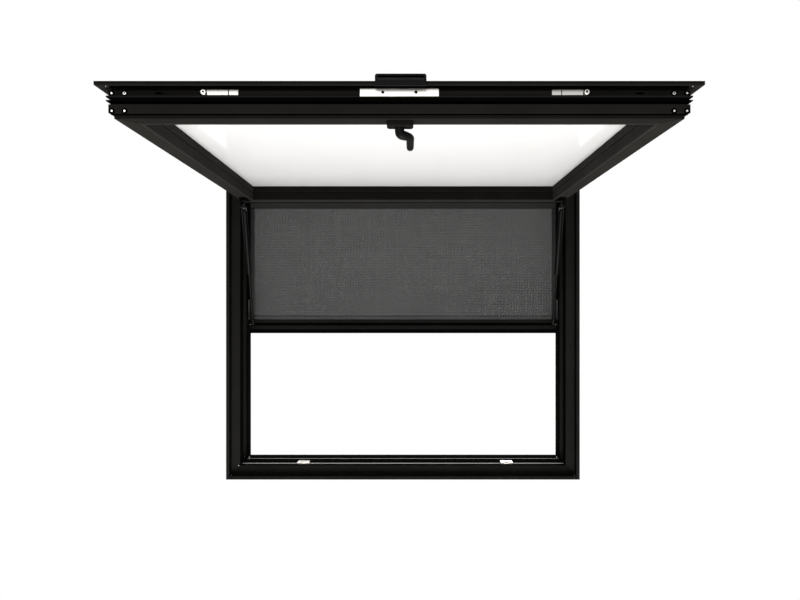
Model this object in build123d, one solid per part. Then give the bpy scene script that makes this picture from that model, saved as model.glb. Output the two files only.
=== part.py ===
from build123d import *
import os

# Aluminium top-hung window, held open: fixed frame, glazed sash, roll-up insect screen.
# X runs along the sill, Y from outside to inside, Z up. Millimetres.
# The origin is the centre of the flat underside of the sill.

# Fixed frame. Widths are measured from its outer edge, depths from its outer face.
FRAME_WIDTH = 1200.0
FRAME_HEIGHT = 1030.0
FRAME_DEPTH = 114.0
FRAME_WALL = 2.0
LIP_WIDTH = 11.0
LIP_DEPTH = 25.5
FACE_LINE = 44.0
REVEAL_LINE = 53.6
STOP_DEPTH = 68.0
FRAME_BREAK_LENGTH = 22.0
FRAME_BREAK_SETBACK = 4.0
SILL_UPSTAND = 3.3
SILL_UPSTAND_DEPTH = 27.0
OUTER_GASKET_WIDTH = 3.0
OUTER_GASKET_OVERHANG = 1.2
STOP_GASKET_WIDTH = 2.0
STOP_GASKET_HEIGHT = 2.6

# Sash. Widths are measured from its flange tip, depths from its outer face.
OPEN_ANGLE = 90.0
SASH_MARGIN = 36.0
SASH_DEPTH = 61.6
SASH_SETBACK = 15.6
SASH_WALL = 1.8
FLANGE_WIDTH = 18.3
FLANGE_THICKNESS = 7.0
FLANGE_NOSE = 6.0
GROOVE_LIP_HEIGHT = 3.3
GROOVE_LIP_WIDTH = 2.8
OUTER_CHAMBER_DEPTH = 24.5
OUTER_CHAMBER_WIDTH = 36.2
GLAZING_LIP = 2.2
SIGHT_LINE = 65.3
SASH_BREAK_LENGTH = 12.5
SASH_BREAK_SETBACK = 6.7
SASH_BREAK_WALL = 2.0
STEP_WIDTH = 7.5
STEP_DEPTH = 8.7
RAIL_FACE_WIDTH = 30.2

# Glazing.
PANE_THICKNESS = 4.0
PANE_GAP = 5.0
PANE_EDGE = 57.0
SPACER_WIDTH = 6.5
SPACER_SETBACK = 1.0
GLAZING_CLEARANCE = 0.3
BEAD_CLEARANCE = 0.2
BEAD_WIDTH = 9.0
BEAD_HEIGHT = 25.6
BEAD_WALL = 1.5
BEAD_GROOVE = 3.0
BEAD_JOINT = 0.8
BEAD_FOOT_WIDTH = 8.0
BEAD_FOOT_FLARE = 1.0
GLAZING_GASKET = 2.5
SEAL_FOOT = 6.0
SEAL_FIN = 2.0

# Continuous hinge along the head.
HINGE_LENGTH = 1080.0
KNUCKLE_COUNT = 5
KNUCKLE_RADIUS = 3.2
KNUCKLE_GAP = 0.6
HINGE_PIN_RADIUS = 1.5
HINGE_PIN_CLEARANCE = 0.05
LEAF_THICKNESS = 1.2
LEAF_CLEARANCE = 0.3
SASH_LEAF_WIDTH = 14.5
FRAME_LEAF_WIDTH = 23.0
KNUCKLE_CLEARANCE = 0.4

# Gas struts.
STRUT_RADIUS = 9.0
STRUT_WALL = 1.5
STRUT_BODY_LENGTH = 243.0
ROD_RADIUS = 4.0
ROD_CLEARANCE = 0.08
ROD_INSERTION = 60.0
PISTON_LENGTH = 8.0
SOCKET_RADIUS = 7.0
SOCKET_BACK = 7.0
SOCKET_LENGTH = 22.0
BALL_RADIUS = 5.0
HEAD_LENGTH = 8.0
BALL_CLEARANCE = 0.2
STUD_RADIUS = 3.0
BRACKET_THICKNESS = 2.5
SASH_BALL_FROM_HINGE = 112.0
SASH_BALL_INSET = 48.0
SASH_BALL_STANDOFF = 24.0
SASH_STUD_LENGTH = 11.5
SASH_BRACKET_WIDTH = 20.0
SASH_BRACKET_LENGTH = 66.0
SASH_EAR_WIDTH = 26.0
FRAME_BALL_HEIGHT = 532.0
FRAME_BALL_DEPTH = 94.0
FRAME_BALL_STANDOFF = 13.4
FRAME_BRACKET_WIDTH = 18.0
FRAME_BRACKET_BELOW = 16.0
FRAME_BRACKET_ABOVE = 9.0

# Lock in the groove of the bottom rail. Positions along X are for the unlocked state.
LOCK_LINE = 16.3
LOCK_SHIFT = -8.0
FACEPLATE_LENGTH = 147.0
FACEPLATE_WIDTH = 14.5
FACEPLATE_THICKNESS = 2.5
FACEPLATE_CLEARANCE = 2.3
FACEPLATE_SCREW_SPACING = 62.0
FACEPLATE_HOLE_RADIUS = 3.0
ROLLER_SPACING = 714.8
ROLLER_RADIUS = 4.8
ROLLER_HEIGHT = 5.0
ROLLER_RIVET_RADIUS = 2.2
ROLLER_RIVET_RECESS = 1.2
LOCK_BAR_LENGTH = 39.0
LOCK_BAR_WIDTH = 10.0
LOCK_BAR_HEIGHT = 3.2
LOCK_BLOCK_LENGTH = 17.0
LOCK_BASE_HEIGHT = 1.4
LOCK_PIECE_GAP = 1.8
DRIVE_ROD_WIDTH = 9.0
DRIVE_ROD_THICKNESS = 1.7
DRIVE_ROD_CLEARANCE = 0.3
KEEPER_LENGTH = 39.5
KEEPER_WIDTH = 25.0
KEEPER_HEIGHT = 7.0
KEEPER_DEPTH = 32.0
KEEPER_SPACING = 701.5
KEEPER_SHIFT = 7.15
KEEPER_MOUTH = 16.0
KEEPER_MOUTH_DEPTH = 13.0
KEEPER_PLATE = 2.0
DRAIN_SPACING = 902.0
DRAIN_LENGTH = 14.0
DRAIN_WIDTH = 4.0

# Inside handle.
HANDLE_INSET = 45.0
BASE_LENGTH = 51.0
BASE_SHIFT = 1.0
BASE_WIDTH = 24.0
BASE_HEIGHT = 11.2
BASE_CORNER = 6.0
BASE_EDGE = 1.8
NECK_RADIUS = 9.0
NECK_HEIGHT = 9.5
NECK_CLEARANCE = 0.3
SPINDLE_RADIUS = 3.6
SPINDLE_LENGTH = 9.0
SPINDLE_CLEARANCE = 0.08
NECK_RIM = 0.6
NECK_CURVE = 10.0
GRIP_RADIUS = 7.4
GRIP_SIDES = 12
LEVER_DROP = 15.0
LEVER_REACH = 91.5
LEVER_OFFSET = 20.6
LEVER_BEND = 14.0
LEVER_CURVE = 18.0

# Outside finger pull on the bottom rail.
PULL_LENGTH = 95.0
PULL_SHIFT = 2.6
PULL_HEIGHT = 12.4
PULL_DEPTH = 26.0
PULL_FRONT = 3.0
PULL_SKIRT = 9.4
PULL_CORNER = 4.0
PULL_RECESS_RIM = 5.0
PULL_RECESS_HEIGHT = 7.8
PULL_RECESS_DEPTH = 8.0
PULL_RECESS_FLOOR = 1.3

# Roll-up insect screen behind the frame.
SCREEN_CLEARANCE = 0.3
GUIDE_OUTER_LINE = 24.0
GUIDE_INNER_LINE = 48.0
GUIDE_DEPTH = 26.0
GUIDE_WALL = 1.5
GUIDE_MOUTH = 18.0
TRACK_TOP = 50.0
CASSETTE_BOTTOM = 940.0
CASSETTE_HEIGHT = 62.0
CASSETTE_DEPTH = 48.0
CASSETTE_SLOT = 5.0
CASSETTE_EDGE = 6.0
MESH_THICKNESS = 0.8
MESH_HOLD = 6.0
PULL_BAR_BOTTOM = 491.7
PULL_BAR_HEIGHT = 47.3
PULL_BAR_DEPTH = 13.0
PULL_BAR_RIB = 1.8
PULL_BAR_TOP_RIB = 8.5
PULL_BAR_RIB_BASE = 14.5
PULL_BAR_RIB_HEIGHT = 12.5
PULL_BAR_SPLINE_HEIGHT = 10.5
PULL_BAR_SPLINE_DEPTH = 7.0
PULL_BAR_ENGAGEMENT = 5.0

CUT_REACH = 4000.0

# Places worked out from the sizes above.
FRONT = -FRAME_DEPTH / 2
SASH_WIDTH = FRAME_WIDTH - 2 * SASH_MARGIN
SASH_HEIGHT = FRAME_HEIGHT - 2 * SASH_MARGIN
SASH_FRONT = FRONT + SASH_SETBACK
SASH_TOP = SASH_MARGIN + SASH_HEIGHT
HINGE_Y = FRONT + LIP_DEPTH - LEAF_CLEARANCE - LEAF_THICKNESS
HINGE_AXIS = Axis((0, HINGE_Y, SASH_TOP), (1, 0, 0))
GROOVE_TIP = FLANGE_WIDTH - GROOVE_LIP_HEIGHT
INNER_CHAMBER_DEPTH = OUTER_CHAMBER_DEPTH + SASH_BREAK_LENGTH
RAIL_INNER_LINE = FLANGE_WIDTH + STEP_WIDTH + RAIL_FACE_WIDTH
REBATE_LINE = FLANGE_WIDTH + OUTER_CHAMBER_WIDTH
OUTER_PANE_DEPTH = GLAZING_LIP + GLAZING_CLEARANCE
INNER_PANE_DEPTH = OUTER_PANE_DEPTH + PANE_THICKNESS + PANE_GAP
GLASS_BACK_DEPTH = INNER_PANE_DEPTH + PANE_THICKNESS
BEAD_FOOT_DEPTH = GLASS_BACK_DEPTH + GLAZING_GASKET
BEAD_LINE = RAIL_INNER_LINE + BEAD_CLEARANCE + BEAD_WIDTH
REVEAL_HALF = FRAME_WIDTH / 2 - REVEAL_LINE
FRAME_BACK = FRONT + FRAME_DEPTH
SCREEN_Y = FRAME_BACK + GUIDE_DEPTH / 2


def rectangle(low_a, low_b, high_a, high_b):
    """Rectangle between two corners, in the axes of a bar's section."""
    return Polygon((low_a, low_b), (high_a, low_b), (high_a, high_b), (low_a, high_b), align=None)


def block(low, high):
    """Box between two corners."""
    size = [high[i] - low[i] for i in range(3)]
    middle = [(high[i] + low[i]) / 2 for i in range(3)]
    return Pos(*middle) * Box(*size)


def mitred_bar(section, length):
    """Bar along X with 45 degree ends: the section's first axis points inwards, the second is depth."""
    start = Plane(origin=(length / 2, 0, 0), x_dir=(0, 0, 1), z_dir=(-1, 0, 0))
    bar = extrude(start * section, amount=length, dir=(-1, 0, 0))
    reach = length / 2 - 1
    outline = Polygon(
        (-length / 2, 0), (length / 2, 0), (length / 2 - reach, reach), (reach - length / 2, reach), align=None
    )
    return bar & extrude(Plane.XZ * outline, amount=CUT_REACH, both=True)


def side_places(width, height, bottom, front):
    """Length and place of the bar on each side of a rectangle whose outer face is at front."""
    middle = bottom + height / 2
    return {
        "bottom": (width, Location((0, front, bottom))),
        "top": (width, Location((0, front, bottom + height), (0, 180, 0))),
        "left": (height, Location((-width / 2, front, middle), (0, 90, 0))),
        "right": (height, Location((width / 2, front, middle), (0, -90, 0))),
    }


FRAME_SIDES = side_places(FRAME_WIDTH, FRAME_HEIGHT, 0, FRONT)
SASH_SIDES = side_places(SASH_WIDTH, SASH_HEIGHT, SASH_MARGIN, SASH_FRONT)


def place_bar(section, side):
    """Mitred bar of this section on one side."""
    length, place = side
    return place * mitred_bar(section, length)


def ring(section, sides):
    """The same section on all four sides, joined at the corners."""
    bars = [place_bar(section, side) for side in sides.values()]
    return (bars[0] + bars[1] + bars[2] + bars[3]).clean()


def opened(piece):
    """Swing a piece that is drawn on the closed sash to its open place."""
    return piece.rotate(HINGE_AXIS, -OPEN_ANGLE)


def open_point(x, y, z):
    """Where a point of the closed sash is when the sash is open."""
    return opened(Vertex(x, y, z)).center()


def mirrored(piece):
    return piece.mirror(Plane.YZ)


# Fixed frame
def frame_section():
    """Outer and inner chambers joined by the two walls of the thermal break."""
    wall = FRAME_WALL
    break_start = STOP_DEPTH - FRAME_BREAK_LENGTH
    break_line = FACE_LINE - FRAME_BREAK_SETBACK
    outline = Polygon(
        (0, 0), (LIP_WIDTH, 0), (LIP_WIDTH, LIP_DEPTH), (FACE_LINE, LIP_DEPTH), (FACE_LINE, break_start),
        (break_line, break_start), (break_line, STOP_DEPTH), (REVEAL_LINE, STOP_DEPTH),
        (REVEAL_LINE, FRAME_DEPTH), (0, FRAME_DEPTH), align=None,
    )
    web = FACE_LINE / 2
    outer_chambers = Polygon(
        (wall, wall), (LIP_WIDTH - wall, wall), (LIP_WIDTH - wall, LIP_DEPTH + wall), (web, LIP_DEPTH + wall),
        (web, break_start - wall), (wall, break_start - wall), align=None,
    ) + rectangle(web + wall, LIP_DEPTH + wall, FACE_LINE - wall, break_start - wall)
    break_chamber = rectangle(wall, break_start, break_line - wall, STOP_DEPTH)
    inner_chambers = rectangle(wall, STOP_DEPTH + wall, web, FRAME_DEPTH - wall) + rectangle(
        web + wall, STOP_DEPTH + wall, REVEAL_LINE - wall, FRAME_DEPTH - wall
    )
    return outline - outer_chambers - break_chamber - inner_chambers


def frame_bars():
    section = frame_section()
    bars = {name: place_bar(section, side) for name, side in FRAME_SIDES.items()}
    upstand_half = REVEAL_HALF - SCREEN_CLEARANCE
    bars["bottom"] += block(
        (-upstand_half, FRAME_BACK - SILL_UPSTAND_DEPTH, REVEAL_LINE),
        (upstand_half, FRAME_BACK, REVEAL_LINE + SILL_UPSTAND),
    )
    bars["top"] = hinge_channel(bars["top"])
    return {
        "frame_sill": bars["bottom"],
        "frame_head": bars["top"],
        "frame_jamb_left": bars["left"],
        "frame_jamb_right": bars["right"],
    }


def hinge_channel(head):
    """Groove in the head's face that the hinge barrel turns in, backed by a thicker wall."""
    half = HINGE_LENGTH / 2 + KNUCKLE_GAP
    face = FRONT + LIP_DEPTH
    reach = KNUCKLE_RADIUS + KNUCKLE_CLEARANCE
    groove_back = HINGE_Y + reach
    backing = block(
        (-half - FRAME_WALL, face, SASH_TOP - reach - FRAME_WALL),
        (half + FRAME_WALL, groove_back + FRAME_WALL, SASH_TOP + reach + FRAME_WALL),
    )
    groove = block((-half, face - 1, SASH_TOP - reach), (half, groove_back, SASH_TOP + reach))
    return head + backing - groove


def frame_gaskets():
    edge = FACE_LINE - OUTER_GASKET_WIDTH + OUTER_GASKET_OVERHANG
    flange_back = SASH_SETBACK + FLANGE_THICKNESS + GLAZING_CLEARANCE
    outer = rectangle(edge, flange_back, FACE_LINE + OUTER_GASKET_OVERHANG, LIP_DEPTH) + rectangle(
        FACE_LINE, LIP_DEPTH, FACE_LINE + OUTER_GASKET_OVERHANG, LIP_DEPTH + OUTER_GASKET_WIDTH
    )
    tip = SASH_MARGIN + FLANGE_WIDTH - GLAZING_CLEARANCE
    stop = rectangle(tip - STOP_GASKET_WIDTH, STOP_DEPTH - STOP_GASKET_HEIGHT, tip, STOP_DEPTH)
    return {"frame_outer_gasket": ring(outer, FRAME_SIDES), "frame_stop_gasket": ring(stop, FRAME_SIDES)}


# Sash
def sash_section():
    """Outer chamber with flange, groove and glazing lip, thermal break, stepped inner chamber."""
    wall = SASH_WALL
    back = SASH_DEPTH
    step = back - STEP_DEPTH
    step_line = FLANGE_WIDTH + STEP_WIDTH
    break_line = FLANGE_WIDTH + SASH_BREAK_SETBACK
    inner = INNER_CHAMBER_DEPTH
    outline = Polygon(
        (0, 0), (0, FLANGE_THICKNESS), (GROOVE_TIP, FLANGE_THICKNESS),
        (GROOVE_TIP, FLANGE_THICKNESS + GROOVE_LIP_WIDTH), (FLANGE_WIDTH, FLANGE_THICKNESS + GROOVE_LIP_WIDTH),
        (FLANGE_WIDTH, OUTER_CHAMBER_DEPTH - GROOVE_LIP_WIDTH), (GROOVE_TIP, OUTER_CHAMBER_DEPTH - GROOVE_LIP_WIDTH),
        (GROOVE_TIP, OUTER_CHAMBER_DEPTH), (break_line, OUTER_CHAMBER_DEPTH), (break_line, inner),
        (FLANGE_WIDTH, inner), (FLANGE_WIDTH, step), (step_line, step), (step_line, back), (RAIL_INNER_LINE, back),
        (RAIL_INNER_LINE, OUTER_CHAMBER_DEPTH), (REBATE_LINE, OUTER_CHAMBER_DEPTH), (REBATE_LINE, GLAZING_LIP),
        (SIGHT_LINE, GLAZING_LIP), (SIGHT_LINE, 0), align=None,
    )
    outer_chamber = Polygon(
        (FLANGE_NOSE, wall), (REBATE_LINE - wall, wall), (REBATE_LINE - wall, OUTER_CHAMBER_DEPTH - wall),
        (FLANGE_WIDTH + wall, OUTER_CHAMBER_DEPTH - wall), (FLANGE_WIDTH + wall, FLANGE_THICKNESS - wall),
        (FLANGE_NOSE, FLANGE_THICKNESS - wall), align=None,
    )
    break_chamber = rectangle(
        break_line + SASH_BREAK_WALL, OUTER_CHAMBER_DEPTH, RAIL_INNER_LINE - SASH_BREAK_WALL, inner
    )
    inner_chamber = Polygon(
        (FLANGE_WIDTH + wall, inner + wall), (RAIL_INNER_LINE - wall, inner + wall),
        (RAIL_INNER_LINE - wall, back - wall), (step_line + wall, back - wall), (step_line + wall, step - wall),
        (FLANGE_WIDTH + wall, step - wall), align=None,
    )
    return outline - outer_chamber - break_chamber - inner_chamber


def sash_bars():
    section = sash_section()
    bars = {name: place_bar(section, side) for name, side in SASH_SIDES.items()}
    bars["top"] -= barrel_relief()
    for x in (-DRAIN_SPACING / 2, DRAIN_SPACING / 2):
        bars["bottom"] -= drain_slot(x)
    return {
        "sash_bottom_rail": opened(bars["bottom"]),
        "sash_top_rail": opened(bars["top"]),
        "sash_stile_left": opened(bars["left"]),
        "sash_stile_right": opened(bars["right"]),
    }


def barrel_relief():
    """Rebate in the top rail's flange tip that clears the hinge barrel."""
    reach = KNUCKLE_RADIUS + KNUCKLE_CLEARANCE
    half = HINGE_LENGTH / 2 + KNUCKLE_GAP
    return block((-half, HINGE_Y - reach, SASH_TOP - reach), (half, HINGE_Y, SASH_TOP + 1))


def drain_slot(x):
    """Slot through the outer chamber's wall at the bottom of the groove."""
    slot = SlotOverall(DRAIN_LENGTH, DRAIN_WIDTH)
    return Pos(x, SASH_FRONT + LOCK_LINE, SASH_MARGIN + FLANGE_WIDTH - 1) * extrude(slot, amount=SASH_WALL + 2)


def bead_section():
    """Hollow clip-on bead with a shadow groove and a foot that flares down to the glass."""
    start = RAIL_INNER_LINE + BEAD_CLEARANCE
    joint = BEAD_JOINT
    back = SASH_DEPTH
    low = back - BEAD_HEIGHT
    foot_top = low - BEAD_GROOVE
    foot_start = BEAD_LINE - BEAD_FOOT_WIDTH
    flare = BEAD_LINE + BEAD_FOOT_FLARE + BEAD_WALL
    wall = BEAD_WALL
    outline = Polygon(
        (start, low), (foot_start, low), (foot_start, BEAD_FOOT_DEPTH), (flare, BEAD_FOOT_DEPTH),
        (BEAD_LINE + wall, foot_top), (BEAD_LINE - BEAD_GROOVE, foot_top), (BEAD_LINE - BEAD_GROOVE, low),
        (BEAD_LINE, low), (BEAD_LINE, back - wall), (BEAD_LINE - wall, back), (start + joint, back),
        (start, back - joint), align=None,
    )
    chamber = rectangle(start + wall, low + wall, BEAD_LINE - wall, back - wall)
    foot_chamber = Polygon(
        (foot_start + wall, BEAD_FOOT_DEPTH + wall), (flare - 2 * wall, BEAD_FOOT_DEPTH + wall),
        (BEAD_LINE - wall, foot_top - wall), (foot_start + wall, foot_top - wall), align=None,
    )
    return outline - chamber - foot_chamber


def glazing_beads():
    section = bead_section()
    return {
        f"glazing_bead_{name}": opened(place_bar(section, side)) for name, side in SASH_SIDES.items()
    }


def pane(depth):
    half = SASH_WIDTH / 2 - PANE_EDGE
    front = SASH_FRONT + depth
    return block(
        (-half, front, SASH_MARGIN + PANE_EDGE), (half, front + PANE_THICKNESS, SASH_TOP - PANE_EDGE)
    )


def glazing():
    spacer_end = SIGHT_LINE - SPACER_SETBACK
    spacer = rectangle(spacer_end - SPACER_WIDTH, OUTER_PANE_DEPTH + PANE_THICKNESS, spacer_end, INNER_PANE_DEPTH)
    foot_start = BEAD_LINE - BEAD_FOOT_WIDTH
    gasket = Polygon(
        (foot_start, GLASS_BACK_DEPTH), (BEAD_LINE + BEAD_FOOT_FLARE, GLASS_BACK_DEPTH),
        (BEAD_LINE + BEAD_FOOT_FLARE, BEAD_FOOT_DEPTH), (foot_start, BEAD_FOOT_DEPTH), align=None,
    )
    break_line = FLANGE_WIDTH + SASH_BREAK_SETBACK
    middle = OUTER_CHAMBER_DEPTH + SASH_BREAK_LENGTH / 2
    seal = rectangle(break_line - 2 * SEAL_FIN, middle - SEAL_FOOT / 2, break_line, middle + SEAL_FOOT / 2)
    seal += rectangle(GROOVE_TIP, middle - SEAL_FIN / 2, break_line, middle + SEAL_FIN / 2)
    return {
        "glass_outer_pane": opened(pane(OUTER_PANE_DEPTH)),
        "glass_inner_pane": opened(pane(INNER_PANE_DEPTH)),
        "glass_spacer": opened(ring(spacer, SASH_SIDES)),
        "glazing_gasket": opened(ring(gasket, SASH_SIDES)),
        "sash_centre_seal": opened(ring(seal, SASH_SIDES)),
    }


# Hinge
def barrel(x, radius, length):
    """Cylinder on the hinge axis, centred at x."""
    return Pos(x, HINGE_Y, SASH_TOP) * Rot(0, 90, 0) * Cylinder(radius, length)


def hinge_leaf(plate, mine):
    """A leaf and its knuckles, cut clear of the other leaf's knuckles."""
    pitch = HINGE_LENGTH / KNUCKLE_COUNT
    leaf = plate
    for index in range(KNUCKLE_COUNT):
        x = (index + 0.5) * pitch - HINGE_LENGTH / 2
        if index % 2 == mine:
            leaf += barrel(x, KNUCKLE_RADIUS, pitch - KNUCKLE_GAP)
        else:
            leaf -= barrel(x, KNUCKLE_RADIUS + KNUCKLE_CLEARANCE, pitch + KNUCKLE_GAP)
    return leaf - barrel(0, HINGE_PIN_RADIUS + HINGE_PIN_CLEARANCE, HINGE_LENGTH + 2)


def hinge():
    half = HINGE_LENGTH / 2
    face = FRONT + LIP_DEPTH
    flange_back = SASH_FRONT + FLANGE_THICKNESS
    frame_plate = block((-half, face - LEAF_THICKNESS, SASH_TOP), (half, face, SASH_TOP + FRAME_LEAF_WIDTH))
    sash_plate = block(
        (-half, flange_back, SASH_TOP - SASH_LEAF_WIDTH), (half, flange_back + LEAF_THICKNESS, SASH_TOP)
    )
    return {
        "hinge_frame_leaf": hinge_leaf(frame_plate, 0),
        "hinge_sash_leaf": opened(hinge_leaf(sash_plate, 1)),
        "hinge_pin": barrel(0, HINGE_PIN_RADIUS, HINGE_LENGTH),
    }


# Gas struts, drawn on the left side and mirrored to the right
SASH_BALL_X = SASH_BALL_INSET - SASH_WIDTH / 2
SASH_BALL_Y = SASH_FRONT + SASH_DEPTH + SASH_BALL_STANDOFF
SASH_BALL_Z = SASH_TOP - SASH_BALL_FROM_HINGE
FRAME_BALL = Vector(FRAME_BALL_STANDOFF - REVEAL_HALF, FRONT + FRAME_BALL_DEPTH, FRAME_BALL_HEIGHT)


def ball_stud(ball_x, root_x, y, z):
    """Round head on a stud that runs along X to its bracket."""
    length = abs(ball_x - root_x)
    stud = Pos((ball_x + root_x) / 2, y, z) * Rot(0, 90, 0) * Cylinder(STUD_RADIUS, length)
    return Pos(ball_x, y, z) * Rot(0, 90, 0) * Cylinder(BALL_RADIUS, HEAD_LENGTH) + stud


def socket(ball, direction, stud_end):
    """End fitting: a round cup with a hollow for the stud's head and a slot for the stud."""
    base = Plane(origin=ball - direction * SOCKET_BACK, z_dir=direction)
    cup = base * Cylinder(SOCKET_RADIUS, SOCKET_LENGTH, align=(Align.CENTER, Align.CENTER, Align.MIN))
    hollow = Pos(*ball) * Rot(0, 90, 0) * Cylinder(BALL_RADIUS + BALL_CLEARANCE, HEAD_LENGTH + 2 * BALL_CLEARANCE)
    side = SOCKET_RADIUS * (1 if stud_end > ball.X else -1) * 2
    slot = Pos(ball.X + side / 2, ball.Y, ball.Z) * Rot(0, 90, 0) * Cylinder(
        STUD_RADIUS + BALL_CLEARANCE, abs(side)
    )
    return cup - hollow - slot


def strut():
    sash_ball = open_point(SASH_BALL_X, SASH_BALL_Y, SASH_BALL_Z)
    direction = (FRAME_BALL - sash_ball).normalized()
    length = (FRAME_BALL - sash_ball).length
    along = Plane(origin=sash_ball, z_dir=direction)
    shoulder = SOCKET_LENGTH - SOCKET_BACK
    end = STRUT_BODY_LENGTH
    inside = STRUT_RADIUS - STRUT_WALL
    gland = 2 * STRUT_WALL
    bore = ROD_RADIUS + ROD_CLEARANCE
    body_profile = Polyline(
        (0, shoulder), (SOCKET_RADIUS, shoulder), (STRUT_RADIUS, shoulder + 2 * STRUT_WALL),
        (STRUT_RADIUS, end - STRUT_WALL), (inside, end), (bore, end), (bore, end - gland),
        (inside, end - gland), (inside, shoulder + gland), (0, shoulder + gland), close=True,
    )
    body = revolve(Plane.XZ * make_face(body_profile), Axis.Z, 360)
    rod_end = length - shoulder
    piston_top = end - ROD_INSERTION
    rod_profile = Polyline(
        (0, piston_top), (inside - ROD_CLEARANCE, piston_top), (inside - ROD_CLEARANCE, piston_top + PISTON_LENGTH),
        (ROD_RADIUS, piston_top + PISTON_LENGTH), (ROD_RADIUS, rod_end), (0, rod_end), close=True,
    )
    rod = revolve(Plane.XZ * make_face(rod_profile), Axis.Z, 360)
    ear_x = sash_ball.X - SASH_STUD_LENGTH
    return {
        "strut_cylinder": along * body + socket(sash_ball, direction, ear_x),
        "strut_rod": along * rod + socket(FRAME_BALL, -direction, -REVEAL_HALF),
        "strut_sash_bracket": opened(sash_bracket()),
        "strut_frame_bracket": frame_bracket(),
    }


def sash_bracket():
    """Plate on the stile's inner face with an ear that carries the ball stud."""
    face = SASH_FRONT + SASH_DEPTH
    ear_x = SASH_BALL_X - SASH_STUD_LENGTH
    plate_top = SASH_BALL_Z + SASH_BRACKET_LENGTH - SASH_EAR_WIDTH / 2
    plate = block(
        (ear_x, face, plate_top - SASH_BRACKET_LENGTH),
        (ear_x + SASH_BRACKET_WIDTH, face + BRACKET_THICKNESS, plate_top),
    )
    ear_outline = Polygon(
        (face, SASH_BALL_Z - SASH_EAR_WIDTH / 2), (face, SASH_BALL_Z + SASH_EAR_WIDTH),
        (SASH_BALL_Y, SASH_BALL_Z + BALL_RADIUS + BRACKET_THICKNESS),
        (SASH_BALL_Y + BALL_RADIUS, SASH_BALL_Z), (SASH_BALL_Y, SASH_BALL_Z - BALL_RADIUS - BRACKET_THICKNESS),
        align=None,
    )
    ear_plane = Plane(origin=(ear_x, 0, 0), x_dir=(0, 1, 0), z_dir=(1, 0, 0))
    ear = extrude(ear_plane * ear_outline, amount=BRACKET_THICKNESS, dir=(1, 0, 0))
    return plate + ear + ball_stud(SASH_BALL_X, ear_x, SASH_BALL_Y, SASH_BALL_Z)


def frame_bracket():
    """Plate on the jamb's reveal that carries the lower stud."""
    x, y, z = FRAME_BALL
    plate = block(
        (-REVEAL_HALF, y - FRAME_BRACKET_WIDTH / 2, z - FRAME_BRACKET_BELOW),
        (-REVEAL_HALF + BRACKET_THICKNESS, y + FRAME_BRACKET_WIDTH / 2, z + FRAME_BRACKET_ABOVE),
    )
    return plate + ball_stud(x, -REVEAL_HALF, y, z)


def struts():
    pieces = {}
    for name, piece in strut().items():
        pieces[f"{name}_left"] = piece
        pieces[f"{name}_right"] = mirrored(piece)
    return pieces


# Lock
LOCK_Y = SASH_FRONT + LOCK_LINE
ROD_BACK = SASH_MARGIN + FLANGE_WIDTH - DRIVE_ROD_CLEARANCE
ROD_FRONT = ROD_BACK - DRIVE_ROD_THICKNESS


def in_groove(low_x, high_x, width, top, bottom):
    """Block in the bottom rail's groove, from height bottom up to height top."""
    return block((low_x, LOCK_Y - width / 2, bottom), (high_x, LOCK_Y + width / 2, top))


def lock_bar(side):
    """Lock bar: a base strip under the roller, a long pad and a short pad towards the middle."""
    roller_x = side * ROLLER_SPACING / 2
    pad_start = roller_x - side * (ROLLER_RADIUS + LOCK_PIECE_GAP)
    pad_end = pad_start - side * LOCK_BAR_LENGTH
    block_start = pad_end - side * LOCK_PIECE_GAP
    block_end = block_start - side * LOCK_BLOCK_LENGTH
    base_top = ROD_FRONT
    base_bottom = ROD_FRONT - LOCK_BASE_HEIGHT
    pad_bottom = base_bottom - LOCK_BAR_HEIGHT + LOCK_BASE_HEIGHT
    outer_end = roller_x + side * ROLLER_RIVET_RADIUS
    spans = ((outer_end, block_end, base_bottom), (pad_start, pad_end, pad_bottom), (block_start, block_end, pad_bottom))
    pieces = [
        in_groove(min(a, b), max(a, b), LOCK_BAR_WIDTH, base_top, bottom) for a, b, bottom in spans
    ]
    return Pos(LOCK_SHIFT, 0, 0) * (pieces[0] + pieces[1] + pieces[2])


def lock_roller(side):
    """Round roller on the lock bar, with its rivet set back in the face."""
    top = ROD_FRONT - LOCK_BASE_HEIGHT
    roller = Cylinder(ROLLER_RADIUS, ROLLER_HEIGHT, align=(Align.CENTER, Align.CENTER, Align.MAX))
    roller = chamfer(roller.edges().filter_by(GeomType.CIRCLE).sort_by(Axis.Z)[0], ROLLER_RADIUS / 8)
    recess = Cylinder(ROLLER_RIVET_RADIUS, 2 * ROLLER_RIVET_RECESS)
    return Pos(side * ROLLER_SPACING / 2 + LOCK_SHIFT, LOCK_Y, top) * (roller - Pos(0, 0, -ROLLER_HEIGHT) * recess)


def keeper(side):
    """Keeper on the sill: a plate with a raised hook that has a mouth for the roller."""
    x = side * KEEPER_SPACING / 2 + KEEPER_SHIFT
    front = FRONT + KEEPER_DEPTH
    raised = block(
        (x - KEEPER_LENGTH / 2, front, FACE_LINE),
        (x + KEEPER_LENGTH / 2, front + KEEPER_WIDTH, FACE_LINE + KEEPER_HEIGHT),
    )
    mouth = block(
        (x - KEEPER_MOUTH / 2, front - 1, FACE_LINE + KEEPER_PLATE),
        (x + KEEPER_MOUTH / 2, front + KEEPER_MOUTH_DEPTH, FACE_LINE + KEEPER_HEIGHT + 1),
    )
    return raised - mouth


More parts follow.
